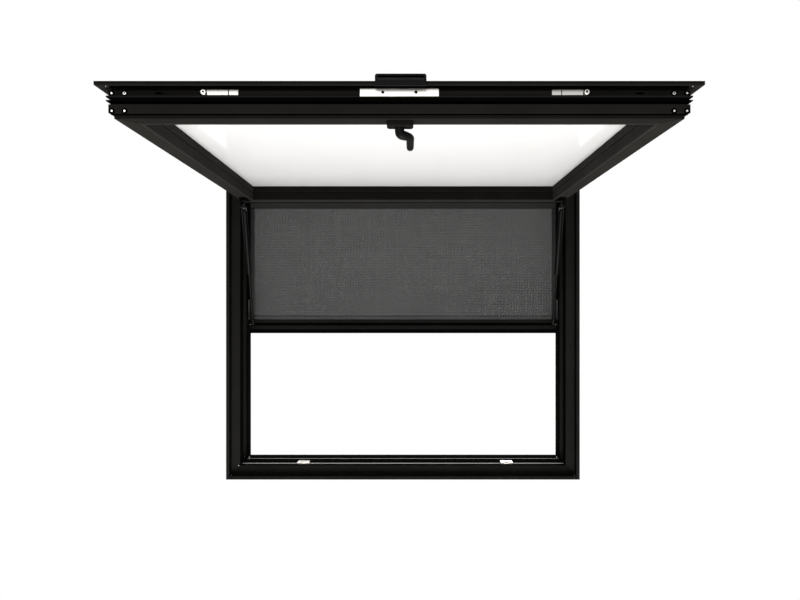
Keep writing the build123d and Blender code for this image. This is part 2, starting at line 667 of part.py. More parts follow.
def lock():
    plate_back = SASH_MARGIN + GROOVE_TIP
    plate_start = SASH_FRONT + FLANGE_THICKNESS + FACEPLATE_CLEARANCE
    plate = block(
        (-FACEPLATE_LENGTH / 2, plate_start, plate_back - FACEPLATE_THICKNESS),
        (FACEPLATE_LENGTH / 2, plate_start + FACEPLATE_WIDTH, plate_back),
    )
    for x in (-FACEPLATE_SCREW_SPACING / 2, FACEPLATE_SCREW_SPACING / 2):
        plate -= Pos(x, LOCK_Y, plate_back) * Cylinder(FACEPLATE_HOLE_RADIUS, 4 * FACEPLATE_THICKNESS)
    half_rod = ROLLER_SPACING / 2 + ROLLER_RADIUS
    rod = Pos(LOCK_SHIFT, 0, 0) * in_groove(-half_rod, half_rod, DRIVE_ROD_WIDTH, ROD_BACK, ROD_FRONT)
    pieces = {"lock_faceplate": opened(plate), "drive_rod": opened(rod)}
    for name, side in (("left", -1), ("right", 1)):
        pieces[f"lock_bar_{name}"] = opened(lock_bar(side))
        pieces[f"lock_roller_{name}"] = opened(lock_roller(side))
        pieces[f"keeper_{name}"] = keeper(side)
    return pieces


# Handle
def handle_base():
    """Rounded base block with the bore that the spindle turns in."""
    outline = RectangleRounded(BASE_LENGTH, BASE_WIDTH, BASE_CORNER)
    body = extrude(outline, amount=BASE_HEIGHT)
    body = chamfer(body.faces().sort_by(Axis.Z)[-1].edges(), BASE_EDGE)
    bore = Cylinder(SPINDLE_RADIUS + SPINDLE_CLEARANCE, 3 * BASE_HEIGHT)
    return Pos(-BASE_SHIFT, 0, 0) * body - bore


def handle_lever():
    """Spindle and tapered neck under a faceted arm that bends sideways, then runs towards the hinge."""
    foot = BASE_HEIGHT + NECK_CLEARANCE
    level = foot + LEVER_DROP
    end = (-LEVER_OFFSET, LEVER_REACH - GRIP_RADIUS / 2, level)
    route = FilletPolyline(
        (0, 0, foot), (0, 0, foot + NECK_HEIGHT), (-LEVER_OFFSET, LEVER_BEND, level), end,
        radius=[NECK_CURVE, LEVER_CURVE],
    )
    arm = sweep(Pos(0, 0, foot) * RegularPolygon(GRIP_RADIUS, GRIP_SIDES), path=route)
    tip = Plane(origin=end, z_dir=(0, 1, 0)) * Cone(
        GRIP_RADIUS - NECK_RIM, GRIP_RADIUS / 2, GRIP_RADIUS / 2, align=(Align.CENTER, Align.CENTER, Align.MIN)
    )
    neck = Pos(0, 0, foot) * Cone(
        NECK_RADIUS, GRIP_RADIUS + NECK_RIM, NECK_HEIGHT - NECK_RIM, align=(Align.CENTER, Align.CENTER, Align.MIN)
    )
    spindle = Pos(0, 0, foot) * Cylinder(
        SPINDLE_RADIUS, SPINDLE_LENGTH, align=(Align.CENTER, Align.CENTER, Align.MAX)
    )
    return arm + tip + neck + spindle


def handle():
    """Base and lever, drawn with y towards the hinge and z away from the rail's inner face."""
    spindle = (0, SASH_FRONT + SASH_DEPTH, SASH_MARGIN + HANDLE_INSET)
    face = Plane(origin=spindle, x_dir=(-1, 0, 0), z_dir=(0, 1, 0))
    return {
        "handle_base": opened(face * handle_base()),
        "handle_lever": opened(face * handle_lever()),
    }


# Outside pull
def outside_pull():
    """Low grip on the outer face with a skirt over the flange edge and a finger recess in front."""
    front = SASH_MARGIN - PULL_FRONT
    back = SASH_MARGIN + PULL_DEPTH - PULL_FRONT
    top = SASH_FRONT - PULL_HEIGHT
    half = PULL_LENGTH / 2
    body = block((-half, top, front), (half, SASH_FRONT, back))
    body = fillet(body.edges().filter_by(Axis.Z).group_by(Axis.Y)[0], PULL_CORNER)
    body += block((-half, SASH_FRONT, front), (half, SASH_FRONT + PULL_SKIRT, SASH_MARGIN))
    recess_half = half - PULL_RECESS_RIM
    recess_low = SASH_FRONT - PULL_RECESS_FLOOR
    body -= block(
        (-recess_half, recess_low - PULL_RECESS_HEIGHT, front - 1), (recess_half, recess_low, front + PULL_RECESS_DEPTH)
    )
    return {"outside_pull": opened(Pos(PULL_SHIFT, 0, 0) * body)}


# Insect screen
def channel_section():
    """Channel on the back of the frame, with its mouth towards the opening."""
    outer = rectangle(GUIDE_OUTER_LINE, 0, GUIDE_INNER_LINE, GUIDE_DEPTH)
    inside = rectangle(
        GUIDE_OUTER_LINE + GUIDE_WALL, GUIDE_WALL, GUIDE_INNER_LINE - GUIDE_WALL, GUIDE_DEPTH - GUIDE_WALL
    )
    middle = GUIDE_DEPTH / 2
    mouth = rectangle(
        GUIDE_INNER_LINE - 2 * GUIDE_WALL, middle - GUIDE_MOUTH / 2, GUIDE_INNER_LINE + 1, middle + GUIDE_MOUTH / 2
    )
    return outer - inside - mouth


def screen_guide():
    """Upright channel on the left, from the track to the cassette."""
    section = Plane(origin=(-FRAME_WIDTH / 2, FRAME_BACK, TRACK_TOP)) * channel_section()
    return extrude(section, amount=CASSETTE_BOTTOM - TRACK_TOP, dir=(0, 0, 1))


def screen_track():
    """The same channel lying behind the sill, between the outer sides of the guides."""
    half = FRAME_WIDTH / 2 - GUIDE_OUTER_LINE
    place = Plane(origin=(half, FRAME_BACK, TRACK_TOP - GUIDE_INNER_LINE), x_dir=(0, 0, 1), z_dir=(-1, 0, 0))
    return extrude(place * channel_section(), amount=2 * half, dir=(-1, 0, 0))


def cassette():
    """Closed housing of the roller, with a slot for the mesh."""
    half = FRAME_WIDTH / 2 - GUIDE_OUTER_LINE
    top = CASSETTE_BOTTOM + CASSETTE_HEIGHT
    shell = block((-half, FRAME_BACK, CASSETTE_BOTTOM), (half, FRAME_BACK + CASSETTE_DEPTH, top))
    shell = fillet(shell.edges().filter_by(Axis.X).group_by(Axis.Y)[-1], CASSETTE_EDGE)
    hollow = block(
        (GUIDE_WALL - half, FRAME_BACK + GUIDE_WALL, CASSETTE_BOTTOM + GUIDE_WALL),
        (half - GUIDE_WALL, FRAME_BACK + CASSETTE_DEPTH - GUIDE_WALL, top - GUIDE_WALL),
    )
    hollow = fillet(hollow.edges().filter_by(Axis.X).group_by(Axis.Y)[-1], CASSETTE_EDGE - GUIDE_WALL)
    slot_half = REVEAL_HALF + PULL_BAR_ENGAGEMENT
    slot = block(
        (-slot_half, SCREEN_Y - CASSETTE_SLOT / 2, CASSETTE_BOTTOM - 1),
        (slot_half, SCREEN_Y + CASSETTE_SLOT / 2, CASSETTE_BOTTOM + 2 * GUIDE_WALL),
    )
    return shell - hollow - slot


def pull_bar():
    """Hollow ribbed bar that slides in the guides, with the spline that grips the mesh."""
    half = REVEAL_HALF + PULL_BAR_ENGAGEMENT
    top = PULL_BAR_BOTTOM + PULL_BAR_HEIGHT
    depth = PULL_BAR_DEPTH / 2
    bar = block((-half, SCREEN_Y - depth, PULL_BAR_BOTTOM), (half, SCREEN_Y + depth, top))
    rib_base = PULL_BAR_BOTTOM + PULL_BAR_RIB_BASE
    for low, high in ((rib_base, rib_base + PULL_BAR_RIB_HEIGHT), (top - PULL_BAR_TOP_RIB, top)):
        bar += block((-half, SCREEN_Y - depth - PULL_BAR_RIB, low), (half, SCREEN_Y + depth + PULL_BAR_RIB, high))
    bar += block(
        (-half, SCREEN_Y - PULL_BAR_SPLINE_DEPTH / 2, top),
        (half, SCREEN_Y + PULL_BAR_SPLINE_DEPTH / 2, top + PULL_BAR_SPLINE_HEIGHT),
    )
    return bar - block(
        (-half - 1, SCREEN_Y - depth + GUIDE_WALL, PULL_BAR_BOTTOM + GUIDE_WALL),
        (half + 1, SCREEN_Y + depth - GUIDE_WALL, top - GUIDE_WALL),
    )


def screen():
    half = REVEAL_HALF + PULL_BAR_ENGAGEMENT - SCREEN_CLEARANCE
    mesh = block(
        (-half, SCREEN_Y - MESH_THICKNESS / 2, PULL_BAR_BOTTOM + PULL_BAR_HEIGHT + PULL_BAR_SPLINE_HEIGHT),
        (half, SCREEN_Y + MESH_THICKNESS / 2, CASSETTE_BOTTOM + MESH_HOLD),
    )
    guide = screen_guide()
    return {
        "screen_mesh": mesh,
        "screen_pull_bar": pull_bar(),
        "screen_cassette": cassette(),
        "screen_guide_left": guide,
        "screen_guide_right": mirrored(guide),
        "screen_sill_track": screen_track(),
    }


def window():
    """Every piece of the window by name."""
    pieces = {}
    for group in (frame_bars, frame_gaskets, sash_bars, glazing_beads, glazing, hinge, struts, lock, handle,
                  outside_pull, screen):
        pieces.update(group())
    return pieces


os.makedirs("parts", exist_ok=True)
for node, shape in window().items():
    export_step(shape, f"parts/{node}.step")
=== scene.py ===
"""Dresses the top-hung aluminium window: finishes, insect cloth, screws, seals, camera and light.

Sizes are in millimetres in the window's own frame: x along the sill, y from outside to inside, z up, with
the origin at the centre of the sill's underside. They become metres when a mesh is made.
"""

from __future__ import annotations

import logging
import math
from dataclasses import dataclass
from enum import Enum
from typing import Iterable, Sequence

import bmesh
import bpy
import numpy as np
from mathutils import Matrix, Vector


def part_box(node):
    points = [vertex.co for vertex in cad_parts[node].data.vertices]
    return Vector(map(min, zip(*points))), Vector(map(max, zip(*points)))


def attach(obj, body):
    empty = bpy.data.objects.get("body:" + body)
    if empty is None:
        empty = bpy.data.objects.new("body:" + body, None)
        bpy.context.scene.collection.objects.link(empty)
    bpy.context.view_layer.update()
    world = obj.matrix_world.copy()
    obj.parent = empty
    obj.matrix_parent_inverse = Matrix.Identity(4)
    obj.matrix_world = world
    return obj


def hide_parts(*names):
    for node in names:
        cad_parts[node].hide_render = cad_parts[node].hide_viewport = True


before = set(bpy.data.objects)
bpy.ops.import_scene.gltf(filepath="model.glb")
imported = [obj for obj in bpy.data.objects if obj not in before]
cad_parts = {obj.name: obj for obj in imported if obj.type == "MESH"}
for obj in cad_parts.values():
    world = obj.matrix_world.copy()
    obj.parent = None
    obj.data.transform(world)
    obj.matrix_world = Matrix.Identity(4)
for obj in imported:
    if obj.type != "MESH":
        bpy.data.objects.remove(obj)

LOG = logging.getLogger("window")
METRE = 0.001
SHARP_ANGLE = 35.0
PEEL_HEIGHT = 0.0002
WHITE = (1.0, 1.0, 1.0)

Array = np.ndarray
Material = bpy.types.Material
Socket = bpy.types.NodeSocket
Pair = tuple[float, float]
Triple = tuple[float, float, float]

# The cloth's yarns, in metres and cells per metre
CLOTH_MIDDLE = 0.75
THICK_YARN_PITCH = 0.0098
THICK_YARN_SHARE = 0.5
YARN_CELLS = (("X", (170.0, 0.0, 4.0)), ("Z", (4.0, 0.0, 170.0)))


class Body(Enum):
    """The bodies of the window that a piece can ride on."""

    WINDOW = "window"
    HANDLE = "handle"
    LOCK = "lock"


class Slot(Enum):
    """Material slots of the record; each new piece is passed one."""

    ALUMINIUM = "black_aluminium"
    RUBBER = "black_rubber"
    ZINC = "zinc_steel"
    CLOTH = "screen_cloth"
    HANDLE = "black_handle"


UP = (0.0, 0.0, 1.0)
DOWN = (0.0, 0.0, -1.0)
OUTSIDE = (0.0, -1.0, 0.0)
SIDES = ((-1, "left"), (1, "right"))


def node_box(name: str) -> tuple[Array, Array]:
    """Lowest and highest corner of a node of the frame, in millimetres."""
    low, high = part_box(name)
    return np.array(low) / METRE, np.array(high) / METRE


# Shader groups


class Nodes:
    """Short calls for adding and linking shader nodes in one tree."""

    def __init__(self, tree: bpy.types.NodeTree) -> None:
        """Keep the tree that nodes are added to."""
        self.tree = tree

    def put(self, socket: Socket, value: object) -> None:
        """Link an input to the socket given, or set it to the plain value given."""
        if isinstance(value, Socket):
            self.tree.links.new(value, socket)
        else:
            socket.default_value = value

    def fill(self, node: bpy.types.Node, values: dict[str, object]) -> None:
        """Put a value or a socket on inputs of a node, by their labels."""
        for label, value in values.items():
            self.put(node.inputs[label], value)

    def add(self, kind: str, **values: object) -> bpy.types.Node:
        """Add a node and set its properties, or its inputs where a name is a socket's.

        Args:
            kind: Blender's name of the node type.
            **values: Node properties first, then plain values or sockets for its inputs.

        Returns:
            The new node.
        """
        node = self.tree.nodes.new(kind)
        for key, value in values.items():
            if hasattr(node, key):
                setattr(node, key, value)
            else:
                self.put(node.inputs[key], value)
        return node

    def math(self, operation: str, first: object, second: object = 0.0) -> Socket:
        """Value of a math operation on sockets or numbers."""
        node = self.add("ShaderNodeMath", operation=operation)
        for socket, value in zip(node.inputs, (first, second)):
            self.put(socket, value)
        return node.outputs[0]

    def split(self, vector: Socket):
        """The three parts of a vector, by their letters."""
        return self.add("ShaderNodeSeparateXYZ", Vector=vector).outputs

    def scaled(self, colour: Socket, factor: Socket) -> Socket:
        """A colour times a factor."""
        return self.add("ShaderNodeVectorMath", operation="SCALE", Vector=colour, Scale=factor).outputs[0]

    def noise(self, place: Socket, scale: object, detail: float) -> Socket:
        """Noise at a place."""
        return self.add("ShaderNodeTexNoise", Vector=place, Scale=scale, Detail=detail).outputs["Fac"]

    def bump(self, height: Socket, strength: object, distance: float) -> Socket:
        """Normal of a surface raised by a height, which is 1 at the distance in metres."""
        raised = self.add("ShaderNodeBump", Height=height, Strength=strength, Distance=distance)
        return raised.outputs["Normal"]

    def object_place(self) -> Socket:
        """Object coordinates."""
        return self.add("ShaderNodeTexCoord").outputs["Object"]


def new_group(name: str, floats: Sequence[str], colours: Sequence[str], outputs: dict[str, str]):
    """Make an empty shader group that takes a vector and named values.

    Args:
        name: Name of the group.
        floats: Inputs that are numbers.
        colours: Inputs that are colours.
        outputs: Kind of each output: Float, Color or Vector.

    Returns:
        The group, its node helper, the sockets that it is given and its output node.
    """
    group = bpy.data.node_groups.new(name, "ShaderNodeTree")
    inputs = {"Vector": "Vector", **dict.fromkeys(colours, "Color"), **dict.fromkeys(floats, "Float")}
    for way, sockets in (("INPUT", inputs), ("OUTPUT", outputs)):
        for label, kind in sockets.items():
            group.interface.new_socket(label, in_out=way, socket_type=f"NodeSocket{kind}")
    entry = group.nodes.new("NodeGroupInput")
    return group, Nodes(group), entry.outputs, group.nodes.new("NodeGroupOutput")


def opaque(colour: Sequence[float]) -> tuple[float, ...]:
    """A colour with an alpha of one."""
    return (*colour, 1.0)


def new_material(name: str, values: dict[str, object]):
    """Make a material whose Principled shader has the given plain values.

    Args:
        name: Name of the material.
        values: Value of each shader input that is the same all over.

    Returns:
        The material, its node helper and its shader.
    """
    material = bpy.data.materials.new(name)
    material.use_nodes = True
    nodes = Nodes(material.node_tree)
    shader = material.node_tree.nodes["Principled BSDF"]
    nodes.fill(shader, values)
    return material, nodes, shader


def coat_group() -> bpy.types.NodeTree:
    """Powder coat: cloudy tone, fine orange peel, painted highlight on level faces, painted shade on turned
    ones.

    Colour is the base colour times one plus twice the cloud's deviation from its middle. The peel is noise
    whose cells are a fraction of a millimetre, given out as a bumped normal. A pale painted highlight lies
    where the face looks up, between two depths, in place of the light that level ledges catch. Faces that
    look towards the window's middle are darkened by the side shade, and those that look outside by the front
    shade: this is painted shade.
    """
    group, nodes, given, leave = new_group(
        "powder coat",
        ("Roughness", "Cloud", "Cloud Scale", "Peel Scale", "Peel", "Painted Highlight", "Painted Highlight From", "Painted Highlight To",
         "Painted Side Shade", "Painted Front Shade"),
        ("Colour", "Painted Highlight Colour"),
        {"Colour": "Color", "Roughness": "Float", "Normal": "Vector"},
    )
    cloud = nodes.noise(given["Vector"], given["Cloud Scale"], 3.0)
    spread = nodes.math("MULTIPLY", nodes.math("SUBTRACT", cloud, 0.5), given["Cloud"])
    gain = nodes.math("ADD", nodes.math("MULTIPLY", spread, 2.0), 1.0)
    geometry = nodes.add("ShaderNodeNewGeometry").outputs
    facing = nodes.split(geometry["True Normal"])
    where = nodes.split(geometry["Position"])
    # Painted shade: faces turned towards the middle, or towards the outside, are darkened by the shade
    # values.
    inward = nodes.math("MULTIPLY", facing["X"], nodes.math("SIGN", where["X"]))
    for value, label in ((inward, "Painted Side Shade"), (facing["Y"], "Painted Front Shade")):
        turned = nodes.math("POWER", nodes.math("ABSOLUTE", nodes.math("MINIMUM", value, 0.0)), 4.0)
        kept = nodes.math("SUBTRACT", 1.0, nodes.math("MULTIPLY", turned, given[label]))
        gain = nodes.math("MULTIPLY", gain, kept)
    # Painted highlight: faces looking up between two depths take the pale highlight colour, in place of lit
    # ledges.
    level = nodes.math("POWER", nodes.math("MAXIMUM", facing["Z"], 0.0), 6.0)
    behind = nodes.math("GREATER_THAN", where["Y"], given["Painted Highlight From"])
    band = nodes.math("MULTIPLY", behind, nodes.math("LESS_THAN", where["Y"], given["Painted Highlight To"]))
    highlight_mask = nodes.math("MULTIPLY", nodes.math("MULTIPLY", level, given["Painted Highlight"]), band)
    tint = nodes.scaled(given["Colour"], gain)
    dusty = nodes.add("ShaderNodeMix", data_type="RGBA", Factor=highlight_mask, A=tint, B=given["Painted Highlight Colour"])
    peel = nodes.noise(given["Vector"], given["Peel Scale"], 2.0)
    nodes.fill(leave, {
        "Colour": dusty.outputs["Result"], "Roughness": nodes.math("ADD", given["Roughness"], spread),
        "Normal": nodes.bump(peel, given["Peel"], PEEL_HEIGHT),
    })
    return group


def weave_group() -> bpy.types.NodeTree:
    """Plain weave: yarns along x and z cover all but a small hole in each cell.

    A cell's hole is where both distances from the yarns' middle lines are over the yarn's half width. Noise
    drawn out along each yarn's direction makes some yarns lighter over a stretch, and a sine of the place
    across the yarns makes a thicker one return every few. The tone grows with height by the rise, per metre
    from the middle of the drawn cloth: painted light, lighter towards the top.
    """
    group, nodes, given, leave = new_group(
        "screen weave", ("Pitch", "Yarn", "Streak", "Rise"), ("Colour",),
        {"Colour": "Color", "Alpha": "Float", "Height": "Float"},
    )
    place = nodes.split(given["Vector"])
    rises = []
    streaks = []
    for axis, cells in YARN_CELLS:
        cell = nodes.math("FRACT", nodes.math("DIVIDE", place[axis], given["Pitch"]))
        rises.append(nodes.math("ABSOLUTE", nodes.math("SUBTRACT", cell, 0.5)))
        drawn = nodes.add("ShaderNodeVectorMath", operation="MULTIPLY", Vector=given["Vector"])
        drawn.inputs[1].default_value = cells
        uneven = nodes.math("SUBTRACT", nodes.noise(drawn.outputs[0], 1.0, 0.0), 0.5)
        wave = nodes.math("SINE", nodes.math("MULTIPLY", place[axis], 2 * math.pi / THICK_YARN_PITCH))
        streaks.append(nodes.math("ADD", uneven, nodes.math("MULTIPLY", wave, THICK_YARN_SHARE)))
    half = nodes.math("MULTIPLY", given["Yarn"], 0.5)
    hole = nodes.math("MULTIPLY", *[nodes.math("GREATER_THAN", rise, half) for rise in rises])
    both = nodes.math("MULTIPLY", nodes.math("ADD", *streaks), given["Streak"])
    # Painted light: the cloth is made lighter towards its top.
    painted_light_rise = nodes.math("MULTIPLY", nodes.math("SUBTRACT", place["Z"], CLOTH_MIDDLE), given["Rise"])
    toned = nodes.math("ADD", nodes.math("ADD", nodes.math("MULTIPLY", both, 2.0), 1.0), painted_light_rise)
    nodes.fill(leave, {
        "Colour": nodes.scaled(given["Colour"], toned), "Alpha": nodes.math("SUBTRACT", 1.0, hole),
        "Height": nodes.math("SUBTRACT", 1.0, nodes.math("MAXIMUM", *rises)),
    })
    return group


# Finishes


@dataclass(frozen=True)
class Coat:
    """A coated, plated or rubber surface and how its tone and peel vary."""

    name: str
    colour: Triple
    roughness: float
    metallic: float = 0.0
    specular: float = 0.0
    cloud: float = 0.25
    cloud_scale: float = 9.0
    peel_scale: float = 1800.0
    peel: float = 0.15
    stretch: Triple = (1.0, 1.0, 1.0)
    # The highlight values paint the light that up-facing faces catch; the shade values paint shade on turned
    # faces.
    dust: float = 0.0
    dust_colour: Triple = (0.1, 0.1, 0.1)
    dust_band: Pair = (-1.0, 1.0)
    side_shade: float = 0.0
    front_shade: float = 0.0

    def make(self, group: bpy.types.NodeTree) -> Material:
        """Build the material.

        Args:
            group: The powder coat group.

        Returns:
            A material that reads Object coordinates.
        """
        plain = {"Metallic": self.metallic, "Specular IOR Level": self.specular}
        material, nodes, shader = new_material(self.name, plain)
        mapping = nodes.add("ShaderNodeMapping", Vector=nodes.object_place(), Scale=self.stretch)
        coat = nodes.add("ShaderNodeGroup", node_tree=group)
        nodes.fill(coat, {
            "Vector": mapping.outputs["Vector"], "Colour": opaque(self.colour), "Roughness": self.roughness,
            "Cloud": self.cloud, "Cloud Scale": self.cloud_scale, "Peel Scale": self.peel_scale,
            "Peel": self.peel, "Painted Highlight": self.dust, "Painted Highlight Colour": opaque(self.dust_colour),
            "Painted Highlight From": self.dust_band[0], "Painted Highlight To": self.dust_band[1], "Painted Side Shade": self.side_shade,
            "Painted Front Shade": self.front_shade,
        })
        made = coat.outputs
        nodes.fill(shader, {
            "Base Color": made["Colour"], "Roughness": made["Roughness"], "Normal": made["Normal"],
        })
        return material


@dataclass(frozen=True)
class Glass:
    """Clear float glass with a faint ripple, under a veil of fine dust that shows at a glancing view."""

    name: str
    tint: Triple = (1.0, 1.0, 1.0)
    index: float = 1.2
    ripple: float = 0.02
    ripple_scale: float = 3.0
    ripple_height: float = 0.001
    veil: float = 1.0
    veil_roughness: float = 0.28
    haze: float = 0.35

    def make(self) -> Material:
        """Build the glass material."""
        material, nodes, shader = new_material(self.name, {
            "Base Color": opaque(self.tint), "Metallic": 0.0, "Transmission Weight": 1.0 - self.haze,
            "Roughness": 0.0, "IOR": self.index, "Sheen Weight": self.veil,
            "Sheen Roughness": self.veil_roughness, "Sheen Tint": opaque(WHITE),
        })
        wave = nodes.noise(nodes.object_place(), self.ripple_scale, 1.0)
        nodes.fill(shader, {"Normal": nodes.bump(wave, self.ripple, self.ripple_height)})
        return material


@dataclass(frozen=True)
class Weave:
    """Woven insect cloth with open cells."""

    name: str
    colour: Triple
    pitch: float
    yarn: float
    streak: float
    # The rise is painted light: how much the cloth's tone grows per metre of height.
    rise: float
    roughness: float = 0.9
    specular: float = 0.05
    relief: float = 0.3
    relief_height: float = 0.0003

    def make(self, group: bpy.types.NodeTree) -> Material:
        """Build the cloth material from the weave group."""
        plain = {"Roughness": self.roughness, "Specular IOR Level": self.specular}
        material, nodes, shader = new_material(self.name, plain)
        weave = nodes.add("ShaderNodeGroup", node_tree=group)
        nodes.fill(weave, {
            "Vector": nodes.object_place(), "Colour": opaque(self.colour), "Pitch": self.pitch,
            "Yarn": self.yarn, "Streak": self.streak, "Rise": self.rise,
        })
        nodes.fill(shader, {
            "Base Color": weave.outputs["Colour"], "Alpha": weave.outputs["Alpha"],
            "Normal": nodes.bump(weave.outputs["Height"], self.relief, self.relief_height),
        })
        return material


class Palette:
    """Every finish of the window, built once."""

    def __init__(self) -> None:
        """Build the groups and the materials."""
        group = coat_group()
        plated = {"metallic": 1.0, "specular": 0.5, "peel_scale": 2600.0}
        drawn = {**plated, "peel": 0.08, "stretch": (0.15, 1.0, 1.0)}
        tape = {"cloud": 0.2, "cloud_scale": 30.0}

        def coat(name: str, colour: Triple, roughness: float, **values: object):
            """Material of a coat with the given values."""
            return Coat(name, colour, roughness, **values).make(group)

        # From here to the far rail's coat are lit and shaded copies of the one black powder coat: each part's
        # base tone is set lighter or darker as painted light and shade.
        self.black = coat("black powder coat", (0.0075, 0.0075, 0.0071), 0.6, side_shade=0.65)
        # The sill's copy also carries a pale painted highlight on its up-facing ledges.
        self.sill_black_painted_light = coat(
            "sill powder coat, painted shade and highlight", (0.0052, 0.0052, 0.0049), 0.6, dust=1.0, dust_colour=(0.36, 0.36, 0.35),
            dust_band=(-0.0185, 0.017),
        )
        self.sash_black_painted_light = coat("sash powder coat, painted light", (0.0098, 0.0094, 0.0087), 0.5)
        self.stile_black_painted_light = coat("stile powder coat, painted light", (0.0142, 0.0136, 0.0125), 0.5, side_shade=0.45)
        self.bead_black_painted_light = coat("bead powder coat, painted light and shade", (0.0175, 0.017, 0.016), 0.5, front_shade=0.4)
        self.far_black_painted_light = coat("far rail powder coat, painted light and shade", (0.019, 0.0182, 0.017), 0.5, front_shade=0.75)
        self.bar_black = coat("screen bar coat", (0.0052, 0.0052, 0.005), 0.5)
        self.box_black = coat("screen box coat", (0.005, 0.005, 0.0048), 0.5)
        self.rubber = coat("black rubber", (0.0006,) * 3, 0.9, cloud=0.3, peel_scale=900.0, peel=0.3)
        self.zinc = coat("zinc plate", (0.80, 0.775, 0.73), 0.33, cloud=0.1, cloud_scale=60.0, **drawn)
        self.dull_zinc = coat(
            "dull zinc plate", (0.58, 0.565, 0.54), 0.4, cloud=0.15, cloud_scale=90.0, **drawn
        )
        self.clip = coat("clip wire", (0.1, 0.099, 0.096), 0.35, metallic=1.0, specular=0.5, cloud=0.1)
        self.steel = coat(
            "rod steel", (0.12, 0.118, 0.115), 0.3, cloud=0.1, cloud_scale=60.0, peel=0.05, **plated
        )
        self.gloss = coat("strut paint", (0.0016,) * 3, 0.3, specular=0.035, cloud=0.1, peel=0.05)
        self.band = coat("rubbed pull coat", (0.016, 0.016, 0.0155), 0.45, peel=0.1, cloud_scale=60.0)
        self.foot = coat("handle foot coat", (0.0075, 0.0072, 0.0068), 0.45, peel=0.1)
        self.handle = coat("handle coat", (0.0028,) * 3, 0.45, specular=0.05, peel=0.1)
        self.spacer = coat("spacer", (0.02,) * 3, 0.5)
        self.tape = coat("grey cloth tape", (0.021,) * 3, 0.9, **tape)
        self.edge = coat("grey edge strip", (0.04,) * 3, 0.7, **tape)
        self.glass = Glass("clear glass").make()
        cloth = Weave("insect cloth", (0.0485, 0.0487, 0.049), pitch=0.0014, yarn=0.91, streak=0.15, rise=1.2)
        self.cloth = cloth.make(weave_group())


# Meshes


def put_in_scene(name: str, data: bpy.types.ID) -> bpy.types.Object:
    """Make an object of the data and link it to the scene."""
    thing = bpy.data.objects.new(name, data)
    bpy.context.scene.collection.objects.link(thing)
    return thing


class Mesh:
    """Points and faces gathered from grids and outlines, turned into one object."""

    def __init__(self) -> None:
        """Start empty."""
        self.points: list[Array] = []
        self.faces: list[list[int]] = []
        self.count = 0

    def add(self, points: Array, faces: Iterable[Sequence[int]]) -> None:
        """Add points and the faces between them.

        Args:
            points: An array of n by 3.
            faces: Corner numbers of each face, counted from these points.
        """
        self.points.append(np.asarray(points, dtype=float).reshape(-1, 3))
        self.faces.extend([[int(corner) + self.count for corner in face] for face in faces])
        self.count += len(self.points[-1])

    def grid(self, points: Array, wrap: bool = False) -> None:
        """Add a grid of rows by columns, closed along the columns if it wraps.

        Args:
            points: An array of rows by columns by 3.
            wrap: Whether the last column joins the first.
        """
        rows, columns = points.shape[:2]
        number = np.arange(rows * columns).reshape(rows, columns)
        right = np.roll(number, -1, axis=1) if wrap else number[:, 1:]
        left = number if wrap else number[:, :-1]
        quads = np.stack([left[:-1], right[:-1], right[1:], left[1:]], axis=-1).reshape(-1, 4)
        self.add(points.reshape(-1, 3), quads)

    def prism(self, ends: Array) -> None:
        """Join two like outlines by walls, and close each.

        Args:
            ends: The two outlines, an array of 2 by n by 3.
        """
        self.grid(ends, wrap=True)
        count = ends.shape[1]
        self.add(ends, [range(count), range(2 * count - 1, count - 1, -1)])

    def bar(self, outline: Array, start: Array, end: Array, across: Array) -> None:
        """Carry a closed outline along a straight path and close its ends.

        A point of the outline is start plus its first value along across plus its second value along the
        direction square to both across and the path.

        Args:
            outline: Corners of the section, n by 2.
            start: Start of the path.
            end: End of the path.
            across: Unit direction of the outline's first axis.
        """
        path = (end - start) / np.linalg.norm(end - start)
        second = np.cross(path, across)
        ring = outline[:, :1] * across + outline[:, 1:] * second
        self.prism(np.stack([ring + start, ring + end]))

    def box(self, low: Sequence[float], high: Sequence[float]) -> None:
        """Add a box between two corners."""
        ring = np.array([(low[1], low[2]), (high[1], low[2]), (high[1], high[2]), (low[1], high[2])])
        self.prism(np.stack([np.column_stack([np.full(len(ring), x), ring]) for x in (low[0], high[0])]))

    def make(self, name: str, material: Material, slot: Slot, body: Body = Body.WINDOW) -> bpy.types.Object:
        """Turn the gathered faces into an object that rides on a body.

        Args:
            name: Name of the piece.
            material: Its finish.
            slot: The record's material slot; not used.
            body: The body that it rides on.

        Returns:
            The object.
        """
        mesh = bpy.data.meshes.new(name)
        mesh.from_pydata((np.concatenate(self.points) * METRE).tolist(), [], self.faces)
        work = bmesh.new()
        work.from_mesh(mesh)
        bmesh.ops.remove_doubles(work, verts=work.verts, dist=1e-7)
        bmesh.ops.recalc_face_normals(work, faces=work.faces)
        work.to_mesh(mesh)
        work.free()
        mesh.materials.append(material)
        mesh.shade_smooth()
        mesh.set_sharp_from_angle(angle=math.radians(SHARP_ANGLE))
        piece = put_in_scene(name, mesh)
        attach(piece, body.value)
        LOG.info("%s: %d faces", name, len(mesh.polygons))
        return piece


def axes_for(normal: Sequence[float]) -> tuple[Array, Array, Array]:
    """Two unit directions square to a normal, and the normal itself."""
    out = np.asarray(normal, dtype=float)
    out = out / np.linalg.norm(out)
    aside = np.array([1.0, 0.0, 0.0]) if abs(out[0]) < 0.9 else np.array([0.0, 0.0, 1.0])
    first = np.cross(aside, out)
    first /= np.linalg.norm(first)
    return first, np.cross(out, first), out


